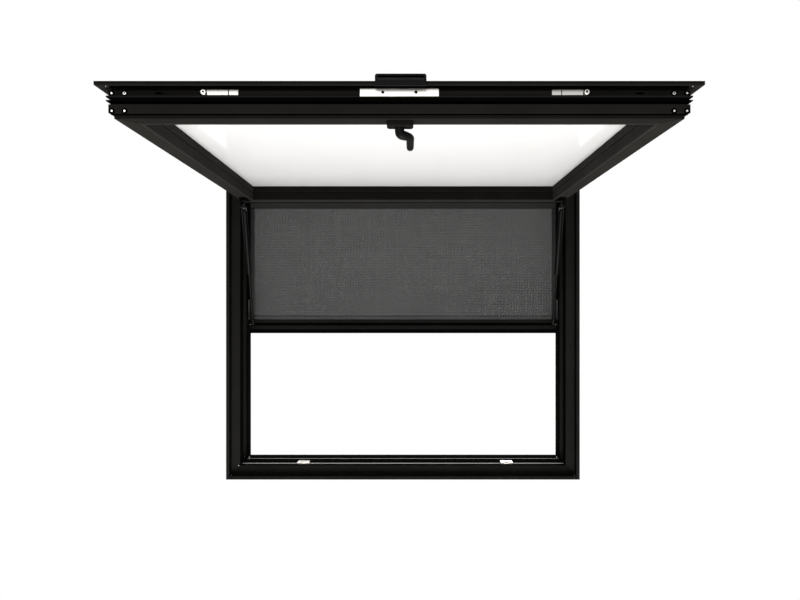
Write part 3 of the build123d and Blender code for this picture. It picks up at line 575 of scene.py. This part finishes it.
@dataclass(frozen=True)
class Screw:
    """A pan head screw with a hexagonal or round socket."""

    radius: float
    height: float
    socket: float = 0.3
    depth: float = 0.2
    sides: int = 6
    segments: int = 24

    def add_to(self, mesh: Mesh, place: Sequence[float], normal: Sequence[float]) -> None:
        """Add the head at a place on a face.

        The head is a grid of rings: each ring has a radius and a height, and the socket's rings follow a
        polygon, whose radius is the apothem over the cosine of the angle from the nearest side's middle.

        Args:
            mesh: The mesh that the head joins.
            place: Where the head sits on the face.
            normal: The face's outward normal.
        """
        angle = np.linspace(0, 2 * math.pi, self.segments, endpoint=False)
        sector = 2 * math.pi / self.sides
        polygon = self.socket / np.cos((angle % sector) - sector / 2)
        rings = [
            (self.radius, 0.0, False), (self.radius, 0.55 * self.height, False),
            (0.86 * self.radius, self.height, False), (self.socket * 1.25, self.height, False),
            (1.0, self.height, True), (1.0, self.height - self.depth, True),
            (0.0, self.height - self.depth, False),
        ]
        first, second, out = axes_for(normal)
        rows = []
        for radius, height, follows in rings:
            reach = polygon if follows else np.full_like(angle, radius)
            flat = reach[:, None] * (np.cos(angle)[:, None] * first + np.sin(angle)[:, None] * second)
            rows.append(np.asarray(place) + flat + height * out)
        mesh.grid(np.stack(rows), wrap=True)


def smooth_curve(stations: Array, count: int) -> Array:
    """Points on the smooth curve through the stations.

    Between two stations the curve is the cubic whose slope at each is half the step between its neighbours.
    Past each end a station is added that repeats the last step.

    Args:
        stations: An array of n by m.
        count: How many points.

    Returns:
        An array of count by m.
    """
    share = np.linspace(0.0, len(stations) - 1.0, count)
    left = np.clip(np.floor(share).astype(int), 0, len(stations) - 2)
    part = (share - left)[:, None]
    before = 2 * stations[:1] - stations[1:2]
    after = 2 * stations[-1:] - stations[-2:-1]
    padded = np.concatenate([before, stations, after])
    first, second, third, fourth = (padded[left + step] for step in range(4))
    return 0.5 * (
        2 * second + (third - first) * part + (2 * first - 5 * second + 4 * third - fourth) * part ** 2
        + (3 * second - first - 3 * third + fourth) * part ** 3
    )


def tube(centre: Array, radius: Array, ahead: Array, aside: Array, sides: int) -> Array:
    """Rings of a tube, as a grid.

    A ring's point is its centre plus its radius times the cosine of the angle along one direction square to
    the path, plus the sine along the other.

    Args:
        centre: Centre of each ring, n by 3.
        radius: Radius of each ring.
        ahead: Unit direction of the path at each ring, n by 3.
        aside: A direction that is nowhere in line with the path.
        sides: Points of a ring.

    Returns:
        An array of n by sides by 3.
    """
    first = np.cross(ahead, aside)
    first /= np.linalg.norm(first, axis=1)[:, None]
    second = np.cross(ahead, first)
    angle = np.linspace(0.0, 2 * math.pi, sides, endpoint=False)[None, :, None]
    ring = np.cos(angle) * first[:, None, :] + np.sin(angle) * second[:, None, :]
    return centre[:, None, :] + radius[:, None, None] * ring


# Sub-assemblies


@dataclass
class Frame:
    """The fixed frame: finishes of its bars and seals, and the seams of its corners."""

    width: float = 1200.0
    height: float = 1030.0
    lip_width: float = 11.0
    lip_depth: float = 25.5
    face_line: float = 44.0
    stop_depth: float = 68.0
    reveal_line: float = 53.6
    depth: float = 114.0
    seam_width: float = 0.9
    seam_proud: float = 0.12
    line_reach: float = 540.0
    line_heights: Pair = (0.2, 3.0)
    line_proud: float = 0.15
    line_sunk: float = 0.2
    # Places of the bright pins that paint the glints at the sill's corners.
    lip_glint_pins: Pair = (-586.0, 587.0)
    lip_glint_pin_depth: float = 14.0
    face_glint_pin: Pair = (-564.0, 41.0)
    stop_glint_pins: Pair = (-556.0, 555.0)
    stop_glint_pin_height: float = 58.6
    reveal_glint_stubs: Pair = (-542.5, 541.5)
    reveal_glint_stub_depth: float = 80.0
    bars: tuple[str, ...] = ("frame_sill", "frame_head", "frame_jamb_left", "frame_jamb_right")

    def dress(self, palette: Palette) -> None:
        """Give the bars and gaskets their finishes."""
        assign(self.bars, palette.black)
        assign(("frame_sill",), palette.sill_black_painted_light)
        assign(("frame_outer_gasket", "frame_stop_gasket"), palette.rubber)
        self.seams(palette)
        self.corner_glint_pins(palette)
        self.head_line(palette)

    def head_line(self, palette: Palette) -> None:
        """Lay the dark joint line along the lower edge of the head's face."""
        low, _ = node_box("frame_head")
        front, back = low[1] - self.line_proud, low[1] + self.line_sunk
        bottom, top = low[2] + np.array(self.line_heights)
        mesh = Mesh()
        mesh.box((-self.line_reach, front, bottom), (self.line_reach, back, top))
        mesh.make("head_joint_line", palette.rubber, Slot.RUBBER)

    def corner_glint_pins(self, palette: Palette) -> None:
        """Set small bright zinc pins at the sill's corners, which stand in for glints at its mitres: painted
        highlights.
        """
        mesh = Mesh()
        pin = Screw(radius=1.3, height=0.7, segments=12)
        glint_stub = Screw(radius=1.9, height=4.4, segments=12)
        front = -self.depth / 2
        for x in self.lip_glint_pins:
            pin.add_to(mesh, (x, front + self.lip_glint_pin_depth, self.lip_width), UP)
        for x in self.stop_glint_pins:
            pin.add_to(mesh, (x, front + self.stop_depth, self.stop_glint_pin_height), OUTSIDE)
        pin.add_to(mesh, (self.face_glint_pin[0], front + self.lip_depth, self.face_glint_pin[1]), OUTSIDE)
        for x in self.reveal_glint_stubs:
            glint_stub.add_to(mesh, (x, front + self.reveal_glint_stub_depth, self.reveal_line), UP)
        mesh.make("sill_corner_glint_pins", palette.zinc, Slot.ZINC)

    def seams(self, palette: Palette) -> None:
        """Lay a hairline of sealer along each mitre.

        A seam is the section's open outline placed in the mitre plane, as a ribbon whose width is square to
        that plane, standing a little proud of the bars.
        """
        proud = self.seam_proud
        lip, face, reveal = (line + proud for line in (self.lip_width, self.face_line, self.reveal_line))
        front, shelf, stop = (depth - proud for depth in (0.0, self.lip_depth, self.stop_depth))
        outline = np.array([
            (0.0, front), (lip, front), (lip, shelf), (face, shelf), (face, stop), (reveal, stop),
            (reveal, self.depth),
        ])
        mesh = Mesh()
        for side, _ in SIDES:
            for low in (True, False):
                x = side * (self.width / 2 - outline[:, 0])
                z = outline[:, 0] if low else self.height - outline[:, 0]
                y = outline[:, 1] - self.depth / 2
                across = np.array([side, 0.0, 1.0 if low else -1.0]) / math.sqrt(2)
                line = np.stack([x, y, z], axis=1)
                half = across * self.seam_width / 2
                mesh.grid(np.stack([line - half, line + half]))
        mesh.make("mitre_seams", palette.rubber, Slot.RUBBER)


@dataclass
class Sash:
    """The open sash: finishes, glass, and the screws in the ends of its bottom rail."""

    chamber_face: float = -972.7
    top: float = 1002.4
    screw_x: Pair = (515.0, 539.0)
    screw_depths: Pair = (16.4, 49.5)
    flange_dot: Triple = (545.0, -983.5, 995.4)
    flange_front: float = -991.0
    seal_shadow_reach: float = 537.0
    seal_shadow_front: float = -986.0
    seal_shadow_bottom: float = 991.5
    # Heights of the dark lines of painted shade on the bottom rail.
    shadow_lines: tuple[Pair, ...] = ((999.6, 1001.3), (945.0, 948.0))
    shadow_line_reaches: Pair = (560.0, 540.5)
    seal_shadow_gap: float = 1.0
    line_proud: float = 0.15
    line_sunk: float = 0.2
    bars: tuple[str, ...] = ("sash_bottom_rail", "sash_top_rail", "sash_stile_left", "sash_stile_right")

    def dress(self, palette: Palette) -> None:
        """Give the sash its finishes and add its screws."""
        assign(self.bars, palette.sash_black_painted_light)
        assign([f"glazing_bead_{side}" for side in ("bottom", "left", "right")], palette.bead_black_painted_light)
        assign(("sash_stile_left", "sash_stile_right"), palette.stile_black_painted_light)
        assign(("sash_top_rail", "glazing_bead_top"), palette.far_black_painted_light)
        assign(("glazing_gasket", "sash_centre_seal"), palette.rubber)
        assign(("glass_outer_pane", "glass_inner_pane"), palette.glass)
        assign(("glass_spacer",), palette.spacer)
        self.screws(palette)
        self.seal_and_shadow_strips(palette)

    def seal_and_shadow_strips(self, palette: Palette) -> None:
        """Lay a black seal that also paints the flange's shadow, and lines of painted shade on the bottom
        rail.
        """
        mesh = Mesh()
        low, high = node_box("lock_faceplate")
        left, right = low[0] - self.seal_shadow_gap, high[0] + self.seal_shadow_gap
        over_plate = high[2] + self.seal_shadow_gap / 2
        stretches = (
            (-self.seal_shadow_reach, left, self.seal_shadow_bottom), (right, self.seal_shadow_reach, self.seal_shadow_bottom),
            (left, right, over_plate),
        )
        # The strip under the flange is a seal and also paints the flange's shadow.
        for start, end, bottom in stretches:
            mesh.box((start, self.seal_shadow_front, bottom), (end, self.chamber_face, self.flange_dot[2]))
        # Dark lines of painted shade under the flange's top edge and between the rail's step and inner face.
        faces = (self.flange_front, self.chamber_face)
        for (bottom, top), face, reach in zip(self.shadow_lines, faces, self.shadow_line_reaches):
            mesh.box((-reach, face - self.line_proud, bottom), (reach, face + self.line_sunk, top))
        mesh.make("sash_flange_seal_and_shadow", palette.rubber, Slot.RUBBER)

    def screws(self, palette: Palette) -> None:
        """Two pairs of corner screws at each end of the bottom rail, each on a dark washer."""
        heads = Mesh()
        washers = Mesh()
        open_head = Screw(radius=3.3, height=1.3, socket=1.3, depth=1.1)
        plain_head = Screw(radius=2.1, height=1.3)
        washer = Screw(radius=5.6, height=0.35, socket=0.8, depth=0.1)
        centre = Screw(radius=1.5, height=0.3, depth=0.1, segments=12)
        dot = Screw(radius=1.2, height=0.6, segments=12)
        inner_x, _ = self.screw_x
        upper_depth, _ = self.screw_depths
        for side, _ in SIDES:
            for x in self.screw_x:
                for depth in self.screw_depths:
                    place = (side * x, self.chamber_face, self.top - depth)
                    opened = x == inner_x and depth == upper_depth
                    (open_head if opened else plain_head).add_to(heads, place, OUTSIDE)
                    washer.add_to(washers, place, OUTSIDE)
            face = self.chamber_face - open_head.height
            centre.add_to(washers, (side * inner_x, face, self.top - upper_depth), OUTSIDE)
            x, y, z = self.flange_dot
            dot.add_to(heads, (side * x, y, z), DOWN)
        heads.make("corner_screws", palette.zinc, Slot.ZINC)
        washers.make("corner_screw_washers", palette.rubber, Slot.RUBBER)


@dataclass
class Hardware:
    """Hinge, struts, lock, keepers, handle and outside pull."""

    reveal: float = 546.4
    strip_depth: Pair = (28.0, 46.0)
    strip_height: Pair = (541.6, 612.0)
    strip_thickness: float = 2.4
    strip_chamfer: float = 1.0
    foot_pin_depths: Pair = (34.0, 40.0)
    foot_pin_height: float = 523.5
    bracket_thickness: float = 5.0
    strut_radius: float = 9.0
    strut_end: float = 4.0
    clip_wire: float = 0.8
    clip_from: float = 13.0
    clip_leg: float = 32.0
    clip_sides: int = 24
    clip_gap: float = 0.3
    clip_turn: Pair = (0.92, 0.4)
    band_inset: float = 5.0
    band_heights: Pair = (1003.6, 1007.2)
    band_proud: float = 0.25
    band_sunk: float = 0.3
    plate_hole_x: float = 31.0
    plate_screw_sunk: float = 1.6
    rivet_rise: float = 0.5
    rivet_proud: float = 0.05
    roller_joint: float = 4.9
    joint_half: float = 0.7
    joint_short: float = 3.5
    block_length: float = 18.0
    split_half: float = 0.6
    mark_proud: float = 0.3
    shadow_inset: float = 0.4
    shadow_drop: Pair = (0.9, 0.1)
    lever_rings: int = 60
    lever_sides: int = 32
    cap_rings: int = 8
    cap_length: float = 0.7
    lever_aside: Triple = (0.55, 0.6, -0.58)
    lever_stations: tuple[tuple[float, float, float, float], ...] = (
        (0.0, -946.0, 930.5, 9.0), (0.0, -946.0, 922.0, 9.0), (1.2, -945.6, 918.0, 9.2),
        (4.8, -944.0, 916.0, 9.3), (9.6, -941.3, 915.3, 9.0), (14.6, -938.0, 914.8, 8.3),
        (18.6, -933.5, 914.5, 7.9), (20.6, -926.0, 914.4, 7.7), (20.6, -905.0, 914.4, 7.6),
        (20.6, -880.0, 914.4, 7.5), (20.6, -861.0, 914.4, 7.4),
    )

    def dress(self, palette: Palette) -> None:
        """Give the hardware its finishes and add strips, pins and screws."""
        assign(("hinge_frame_leaf", "hinge_sash_leaf"), palette.black)
        assign(("hinge_pin",), palette.steel)
        for _, side in SIDES:
            assign((f"strut_cylinder_{side}", f"strut_rod_{side}"), palette.gloss)
            assign((f"strut_sash_bracket_{side}", f"strut_frame_bracket_{side}"), palette.gloss)
            assign((f"lock_roller_{side}", f"keeper_{side}"), palette.zinc)
            assign((f"lock_bar_{side}",), palette.dull_zinc)
        assign(("lock_faceplate",), palette.zinc)
        assign(("drive_rod",), palette.sash_black_painted_light)
        assign(("handle_base",), palette.foot)
        assign(("handle_lever", "outside_pull"), palette.handle)
        self.strips(palette)
        self.plate_screws(palette)
        self.pull_strip(palette)
        self.strut_clips(palette)
        self.lock_marks(palette)
        self.lever_skin(palette)

    def strips(self, palette: Palette) -> None:
        """Lay a bright strip on each reveal over the strut's foot, and pins in its brackets."""
        strips = Mesh()
        pins = Mesh()
        pin = Screw(radius=1.5, height=0.7, segments=12)
        low_y, high_y = self.strip_depth
        top, chamfer = self.strip_thickness, self.strip_chamfer
        outline = np.array([
            (0.0, low_y), (top - chamfer, low_y), (top, low_y + chamfer), (top, high_y - chamfer),
            (top - chamfer, high_y), (0.0, high_y),
        ])
        for side, _ in SIDES:
            across = side * (self.reveal - outline[:, 0])
            ends = [
                np.column_stack([across, outline[:, 1], np.full(len(outline), z)]) for z in self.strip_height
            ]
            strips.prism(np.stack(ends))
            face = side * (self.reveal - self.bracket_thickness)
            for depth in self.foot_pin_depths:
                pin.add_to(pins, (face, depth, self.foot_pin_height), (-side, 0, 0))
        strips.make("strut_foot_strips", palette.steel, Slot.ZINC)
        pins.make("strut_foot_pins", palette.zinc, Slot.ZINC)

    def strut_clips(self, palette: Palette) -> None:
        """Put the bright safety clip round the head of each strut: a ring, and a leg down its inner side.

        The strut's middle line runs from the low to the high end of its box, each end a radius inside it. The
        leg stands off it by the radius, at a turn given as shares across the line and towards the outside.
        """
        mesh = Mesh()
        angle = np.linspace(0.0, 2 * math.pi, self.clip_sides, endpoint=False)
        ring = np.column_stack([np.cos(angle), np.sin(angle)]) * (self.strut_radius + self.clip_wire)
        leg = np.array([(-1.0, -1.0), (1.0, -1.0), (1.0, 1.0), (-1.0, 1.0)]) * self.clip_wire
        inset = self.strut_radius
        for side, name in SIDES:
            low, high = node_box(f"strut_cylinder_{name}")
            inner, outer = (high[0], low[0]) if side < 0 else (low[0], high[0])
            head = np.array([inner + side * inset, low[1] + inset, high[2] - self.strut_end])
            foot = np.array([outer - side * inset, high[1] - inset, low[2] + self.strut_end])
            along = (foot - head) / np.linalg.norm(foot - head)
            across = np.cross(along, np.array([0.0, 1.0, 0.0]))
            across /= np.linalg.norm(across)
            across *= -side if across[0] > 0 else side
            start = head + self.clip_from * along
            mesh.bar(ring, start, start + self.clip_wire * along, across)
            front = np.cross(along, across)
            front *= -1.0 if front[1] > 0 else 1.0
            aside = self.clip_turn[0] * across + self.clip_turn[1] * front
            edge = start + (self.strut_radius + self.clip_gap) * aside
            mesh.bar(leg, edge, edge + self.clip_leg * along, across)
        mesh.make("strut_clips", palette.clip, Slot.ZINC)

    def pull_strip(self, palette: Palette) -> None:
        """Lay the rubbed, lighter band under the finger recess of the outside pull."""
        low, high = node_box("outside_pull")
        bottom, top = self.band_heights
        mesh = Mesh()
        mesh.box(
            (low[0] + self.band_inset, low[1] - self.band_proud, bottom),
            (high[0] - self.band_inset, low[1] + self.band_sunk, top),
        )
        mesh.make("outside_pull_band", palette.band, Slot.HANDLE)

    def plate_screws(self, palette: Palette) -> None:
        """Sink a dark screw in each hole of the lock plate."""
        low, high = node_box("lock_faceplate")
        middle = (low + high) / 2
        mesh = Mesh()
        screw = Screw(radius=2.7, height=1.2, socket=1.2, depth=0.8)
        for side, _ in SIDES:
            place = (middle[0] + side * self.plate_hole_x, high[1] - self.plate_screw_sunk, middle[2])
            screw.add_to(mesh, place, OUTSIDE)
        mesh.make("lock_plate_screws", palette.rubber, Slot.RUBBER)

    def lock_marks(self, palette: Palette) -> None:
        """Set each roller's dark rivet, dark joints between roller, bar and block, and painted shadow under
        each bar.
        """
        mesh = Mesh()
        rivet = Screw(radius=2.1, height=0.5, depth=0.1, segments=16)
        for side, name in SIDES:
            low, high = node_box(f"lock_roller_{name}")
            bar_low, bar_high = node_box(f"lock_bar_{name}")
            middle = (low + high) / 2
            rivet.add_to(mesh, (middle[0], low[1] - self.rivet_proud, middle[2] + self.rivet_rise), OUTSIDE)
            joint = middle[0] - side * self.roller_joint
            split = (bar_low[0] if side > 0 else bar_high[0]) + side * self.block_length
            marks = ((joint, self.joint_half, self.joint_short), (split, self.split_half, 0.0))
            for x, half, short in marks:
                mesh.box(
                    (x - half, bar_low[1] - self.mark_proud, bar_low[2]),
                    (x + half, bar_low[1] + self.mark_proud, bar_high[2] - short),
                )
            # A dark strip just under each bar: painted shadow.
            deep, shallow = self.shadow_drop
            mesh.box(
                (bar_low[0], bar_low[1] + self.shadow_inset, bar_low[2] - deep),
                (bar_high[0], bar_high[1], bar_low[2] - shallow),
            )
        mesh.make("lock_joint_marks_and_shadow", palette.rubber, Slot.RUBBER, Body.LOCK)

    def lever_skin(self, palette: Palette) -> None:
        """Round the lever off with a smooth skin.

        The skin is a tube along the smooth curve through the stations, each a point and a radius. Its last
        rings close as half an ellipsoid: the radius falls as a cosine while the centre moves on as a sine.
        """
        curve = smooth_curve(np.array(self.lever_stations), self.lever_rings)
        centre, radius = curve[:, :3], curve[:, 3]
        ahead = np.gradient(centre, axis=0)
        ahead /= np.linalg.norm(ahead, axis=1)[:, None]
        turn = np.linspace(0.0, math.pi / 2, self.cap_rings + 1)[1:]
        cap_centre = centre[-1] + np.sin(turn)[:, None] * radius[-1] * self.cap_length * ahead[-1]
        centre = np.concatenate([centre, cap_centre])
        radius = np.concatenate([radius, np.cos(turn) * radius[-1]])
        ahead = np.concatenate([ahead, np.repeat(ahead[-1:], len(turn), axis=0)])
        mesh = Mesh()
        mesh.grid(tube(centre, radius, ahead, np.array(self.lever_aside), self.lever_sides), wrap=True)
        mesh.make("lever_skin", palette.handle, Slot.HANDLE, Body.HANDLE)


@dataclass
class Screen:
    """The roll-up insect screen: its metal parts and its cloth with edge tapes."""

    tape_width: float = 16.0
    tape_proud: float = 0.35
    lit_lip_thickness: float = 0.8
    lit_lip_heights: Pair = (0.4, 18.4)
    edge_heights: Pair = (24.0, 30.5)
    edge_sunk: float = 0.2
    hem_heights: Pair = (-10.6, 0.3)
    hem_thickness: float = 0.6
    spline_half: float = 3.5
    rib_proud: float = 1.8
    shadow_strip_proud: float = 0.4
    shadow_strip_sunk: float = 0.2
    shadow_strip_heights: tuple[Pair, ...] = ((1.5, 13.0), (29.0, 37.0))
    columns: int = 120
    rows: int = 40
    waves: float = 1.5
    slack: float = 0.35

    def dress(self, palette: Palette) -> None:
        """Give the metal its finish, hang the cloth and lay the trim."""
        names = ("pull_bar", "sill_track", "guide_left", "guide_right")
        assign([f"screen_{name}" for name in names], palette.bar_black)
        assign(("screen_cassette",), palette.box_black)
        self.cloth(palette)
        self.trims(palette)
        self.channel_shadows(palette)

    def cloth(self, palette: Palette) -> None:
        """Stretch the cloth between cassette and pull bar, with a tape along each side.

        Its depth is a shallow wave: slack times the product of a sine across the width and one over the
        height, so that it is flat at the cassette, the bar and the guides.
        """
        low, high = node_box("screen_mesh")
        middle = (low[1] + high[1]) / 2
        across = np.linspace(0.0, 1.0, self.columns)
        down = np.linspace(0.0, 1.0, self.rows)
        share_x, share_z = np.meshgrid(across, down)
        x = low[0] + share_x * (high[0] - low[0])
        z = low[2] + share_z * (high[2] - low[2])
        wave = np.sin(2 * math.pi * self.waves * share_x) * np.sin(math.pi * share_z)
        y = middle + self.slack * wave
        mesh = Mesh()
        mesh.grid(np.stack([x, y, z], axis=-1))
        cloth = mesh.make("insect_cloth", palette.cloth, Slot.CLOTH)
        tapes = Mesh()
        half = self.tape_proud + self.slack
        for left, right in ((low[0], low[0] + self.tape_width), (high[0] - self.tape_width, high[0])):
            tapes.box((left, middle - half, low[2]), (right, middle + half, high[2]))
        tape = tapes.make("cloth_edge_tapes", palette.tape, Slot.CLOTH)
        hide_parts("screen_mesh")

    def trims(self, palette: Palette) -> None:
        """Lay a grey strip of painted light on the box's lip, a grey edge on its face, a hem tape on the
        bar's spline.
        """
        guide = self.guide_face()
        _, face, base = node_box("screen_cassette")[0]
        bar_top = node_box("screen_pull_bar")[1][2]
        cloth_low, cloth_high = node_box("screen_mesh")
        spline = (cloth_low[1] + cloth_high[1]) / 2 - self.spline_half
        hem, front, back = spline - self.hem_thickness, face - self.lit_lip_thickness, face + self.edge_sunk
        strips = (
            # The grey strip on the box's front lip is painted light on the lip.
            ("screen_box_lit_lip", palette.tape, Slot.ALUMINIUM, front, face, base, self.lit_lip_heights),
            ("screen_box_edge", palette.edge, Slot.ALUMINIUM, front, back, base, self.edge_heights),
            ("cloth_hem_tape", palette.edge, Slot.CLOTH, hem, spline, bar_top, self.hem_heights),
        )
        for name, material, slot, near, far, level, (bottom, top) in strips:
            mesh = Mesh()
            mesh.box((-guide, near, level + bottom), (guide, far, level + top))
            mesh.make(name, material, slot)

    def channel_shadows(self, palette: Palette) -> None:
        """Lay black strips between the pull bar's ribs and under its lower rib, as painted shadow."""
        guide = self.guide_face()
        low, _ = node_box("screen_pull_bar")
        face = low[1] + self.rib_proud
        front, back = face - self.shadow_strip_proud, face + self.shadow_strip_sunk
        mesh = Mesh()
        # Black strips in the bar's channels: painted shadow.
        for bottom, top in low[2] + np.array(self.shadow_strip_heights):
            mesh.box((-guide, front, bottom), (guide, back, top))
        mesh.make("pull_bar_channel_shadows", palette.rubber, Slot.RUBBER)

    def guide_face(self) -> float:
        """How far the inner faces of the side guides stand from the middle."""
        return node_box("screen_guide_right")[0][0]


def assign(names: Iterable[str], material: Material) -> None:
    """Put one material on each named node of the frame."""
    for name in names:
        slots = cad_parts[name].data.materials
        slots.clear()
        slots.append(material)


# Setting


@dataclass(frozen=True)
class Lamp:
    """A square lamp that looks at the window."""

    name: str
    place: Triple
    size: float
    power: float
    colour: Triple = WHITE

    def hang(self, aim: Sequence[float]) -> None:
        """Put the lamp in the scene, turned towards a point, and hide it from the camera."""
        data = bpy.data.lights.new(self.name, "AREA")
        data.size = self.size
        data.energy = self.power
        data.color = self.colour
        lamp = put_in_scene(self.name, data)
        lamp.location = self.place
        across, ahead, up = np.array(aim) - np.array(self.place)
        pitch = math.pi / 2 + math.atan2(up, math.hypot(across, ahead))
        lamp.rotation_euler = (pitch, 0.0, math.atan2(ahead, across) - math.pi / 2)
        lamp.visible_camera = False
        lamp.visible_transmission = False


@dataclass
class Studio:
    """Camera, world, lamps and floor: two broad lamps high in front and behind, a warm one from below."""

    focal_pixels: float = 603.0
    picture_width: float = 800.0
    centre_shift: Pair = (7.2, 7.1)
    camera_place: Triple = (14.6, -2103.0, 585.3)
    sensor: float = 36.0
    sight: float = 200.0
    floor_drop: float = 900.0
    floor_reach: float = 40000.0
    floor_tone: float = 0.9
    ambient: float = 0.8
    lamps: tuple[Lamp, ...] = (
        Lamp("key lamp", (-1.0, -3.4, 2.2), 2.4, 30.0),
        Lamp("floor lamp", (0.0, -1.0, -0.8), 1.6, 95.0, (1.0, 0.972, 0.935)),
        Lamp("back lamp", (1.4, 3.6, 1.9), 2.4, 110.0),
    )
    lamp_aim: Triple = (0.0, -0.4, 0.7)

    def set_up(self) -> None:
        """Build the setting."""
        self.camera()
        self.world()
        self.floor()
        for lamp in self.lamps:
            lamp.hang(self.lamp_aim)
        bpy.context.scene.view_settings.view_transform = "Standard"

    def camera(self) -> None:
        """Level camera in front of the window, at the photograph's angle of view."""
        data = bpy.data.cameras.new("camera")
        data.sensor_width = self.sensor
        data.lens = self.focal_pixels / self.picture_width * self.sensor
        data.shift_x = -self.centre_shift[0] / self.picture_width
        data.shift_y = self.centre_shift[1] / self.picture_width
        data.clip_end = self.sight
        camera = put_in_scene("camera", data)
        camera.location = [value * METRE for value in self.camera_place]
        camera.rotation_euler = (math.radians(90.0), 0.0, 0.0)
        bpy.context.scene.camera = camera

    def mixed(self, nodes: Nodes, light: bpy.types.Node, shown: bpy.types.Node) -> Socket:
        """One shader where the camera, a gloss or clear glass looks at the background, another elsewhere."""
        path = nodes.add("ShaderNodeLightPath").outputs
        straight = nodes.math("MAXIMUM", path["Is Camera Ray"], path["Is Glossy Ray"])
        seen = nodes.math("MAXIMUM", straight, path["Is Transmission Ray"])
        mix = nodes.add("ShaderNodeMixShader")
        for socket, value in zip(mix.inputs, (seen, light.outputs[0], shown.outputs[0])):
            nodes.put(socket, value)
        return mix.outputs[0]

    def world(self) -> None:
        """White background at strength one, and softer light on the object."""
        world = bpy.data.worlds.new("studio")
        bpy.context.scene.world = world
        world.use_nodes = True
        world.node_tree.nodes.clear()
        nodes = Nodes(world.node_tree)
        light, shown = (
            nodes.add("ShaderNodeBackground", Color=opaque(WHITE), Strength=strength)
            for strength in (self.ambient, 1.0)
        )
        nodes.add("ShaderNodeOutputWorld", Surface=self.mixed(nodes, light, shown))

    def floor(self) -> None:
        """Plain pale floor, as far below the sill as a room's floor is."""
        reach = self.floor_reach * METRE
        level = -self.floor_drop * METRE
        around = ((-reach, -reach), (reach, -reach), (reach, reach), (-reach, reach))
        mesh = bpy.data.meshes.new("floor")
        mesh.from_pydata([(x, y, level) for x, y in around], [], [(0, 1, 2, 3)])
        material, nodes, shader = new_material("pale floor", {
            "Base Color": opaque((self.floor_tone,) * 3), "Roughness": 1.0, "Specular IOR Level": 0.0,
        })
        glow = nodes.add("ShaderNodeEmission", Color=opaque(WHITE), Strength=1.0)
        out = material.node_tree.nodes["Material Output"]
        nodes.fill(out, {"Surface": self.mixed(nodes, shader, glow)})
        mesh.materials.append(material)
        put_in_scene("floor", mesh)


def main() -> None:
    """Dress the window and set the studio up."""
    logging.basicConfig(level=logging.INFO, format="%(name)s: %(message)s")
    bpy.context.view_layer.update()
    palette = Palette()
    for part in (Frame(), Sash(), Hardware(), Screen()):
        part.dress(palette)
        LOG.info("dressed the %s", type(part).__name__)
    Studio().set_up()


if __name__ == "__main__":
    main()
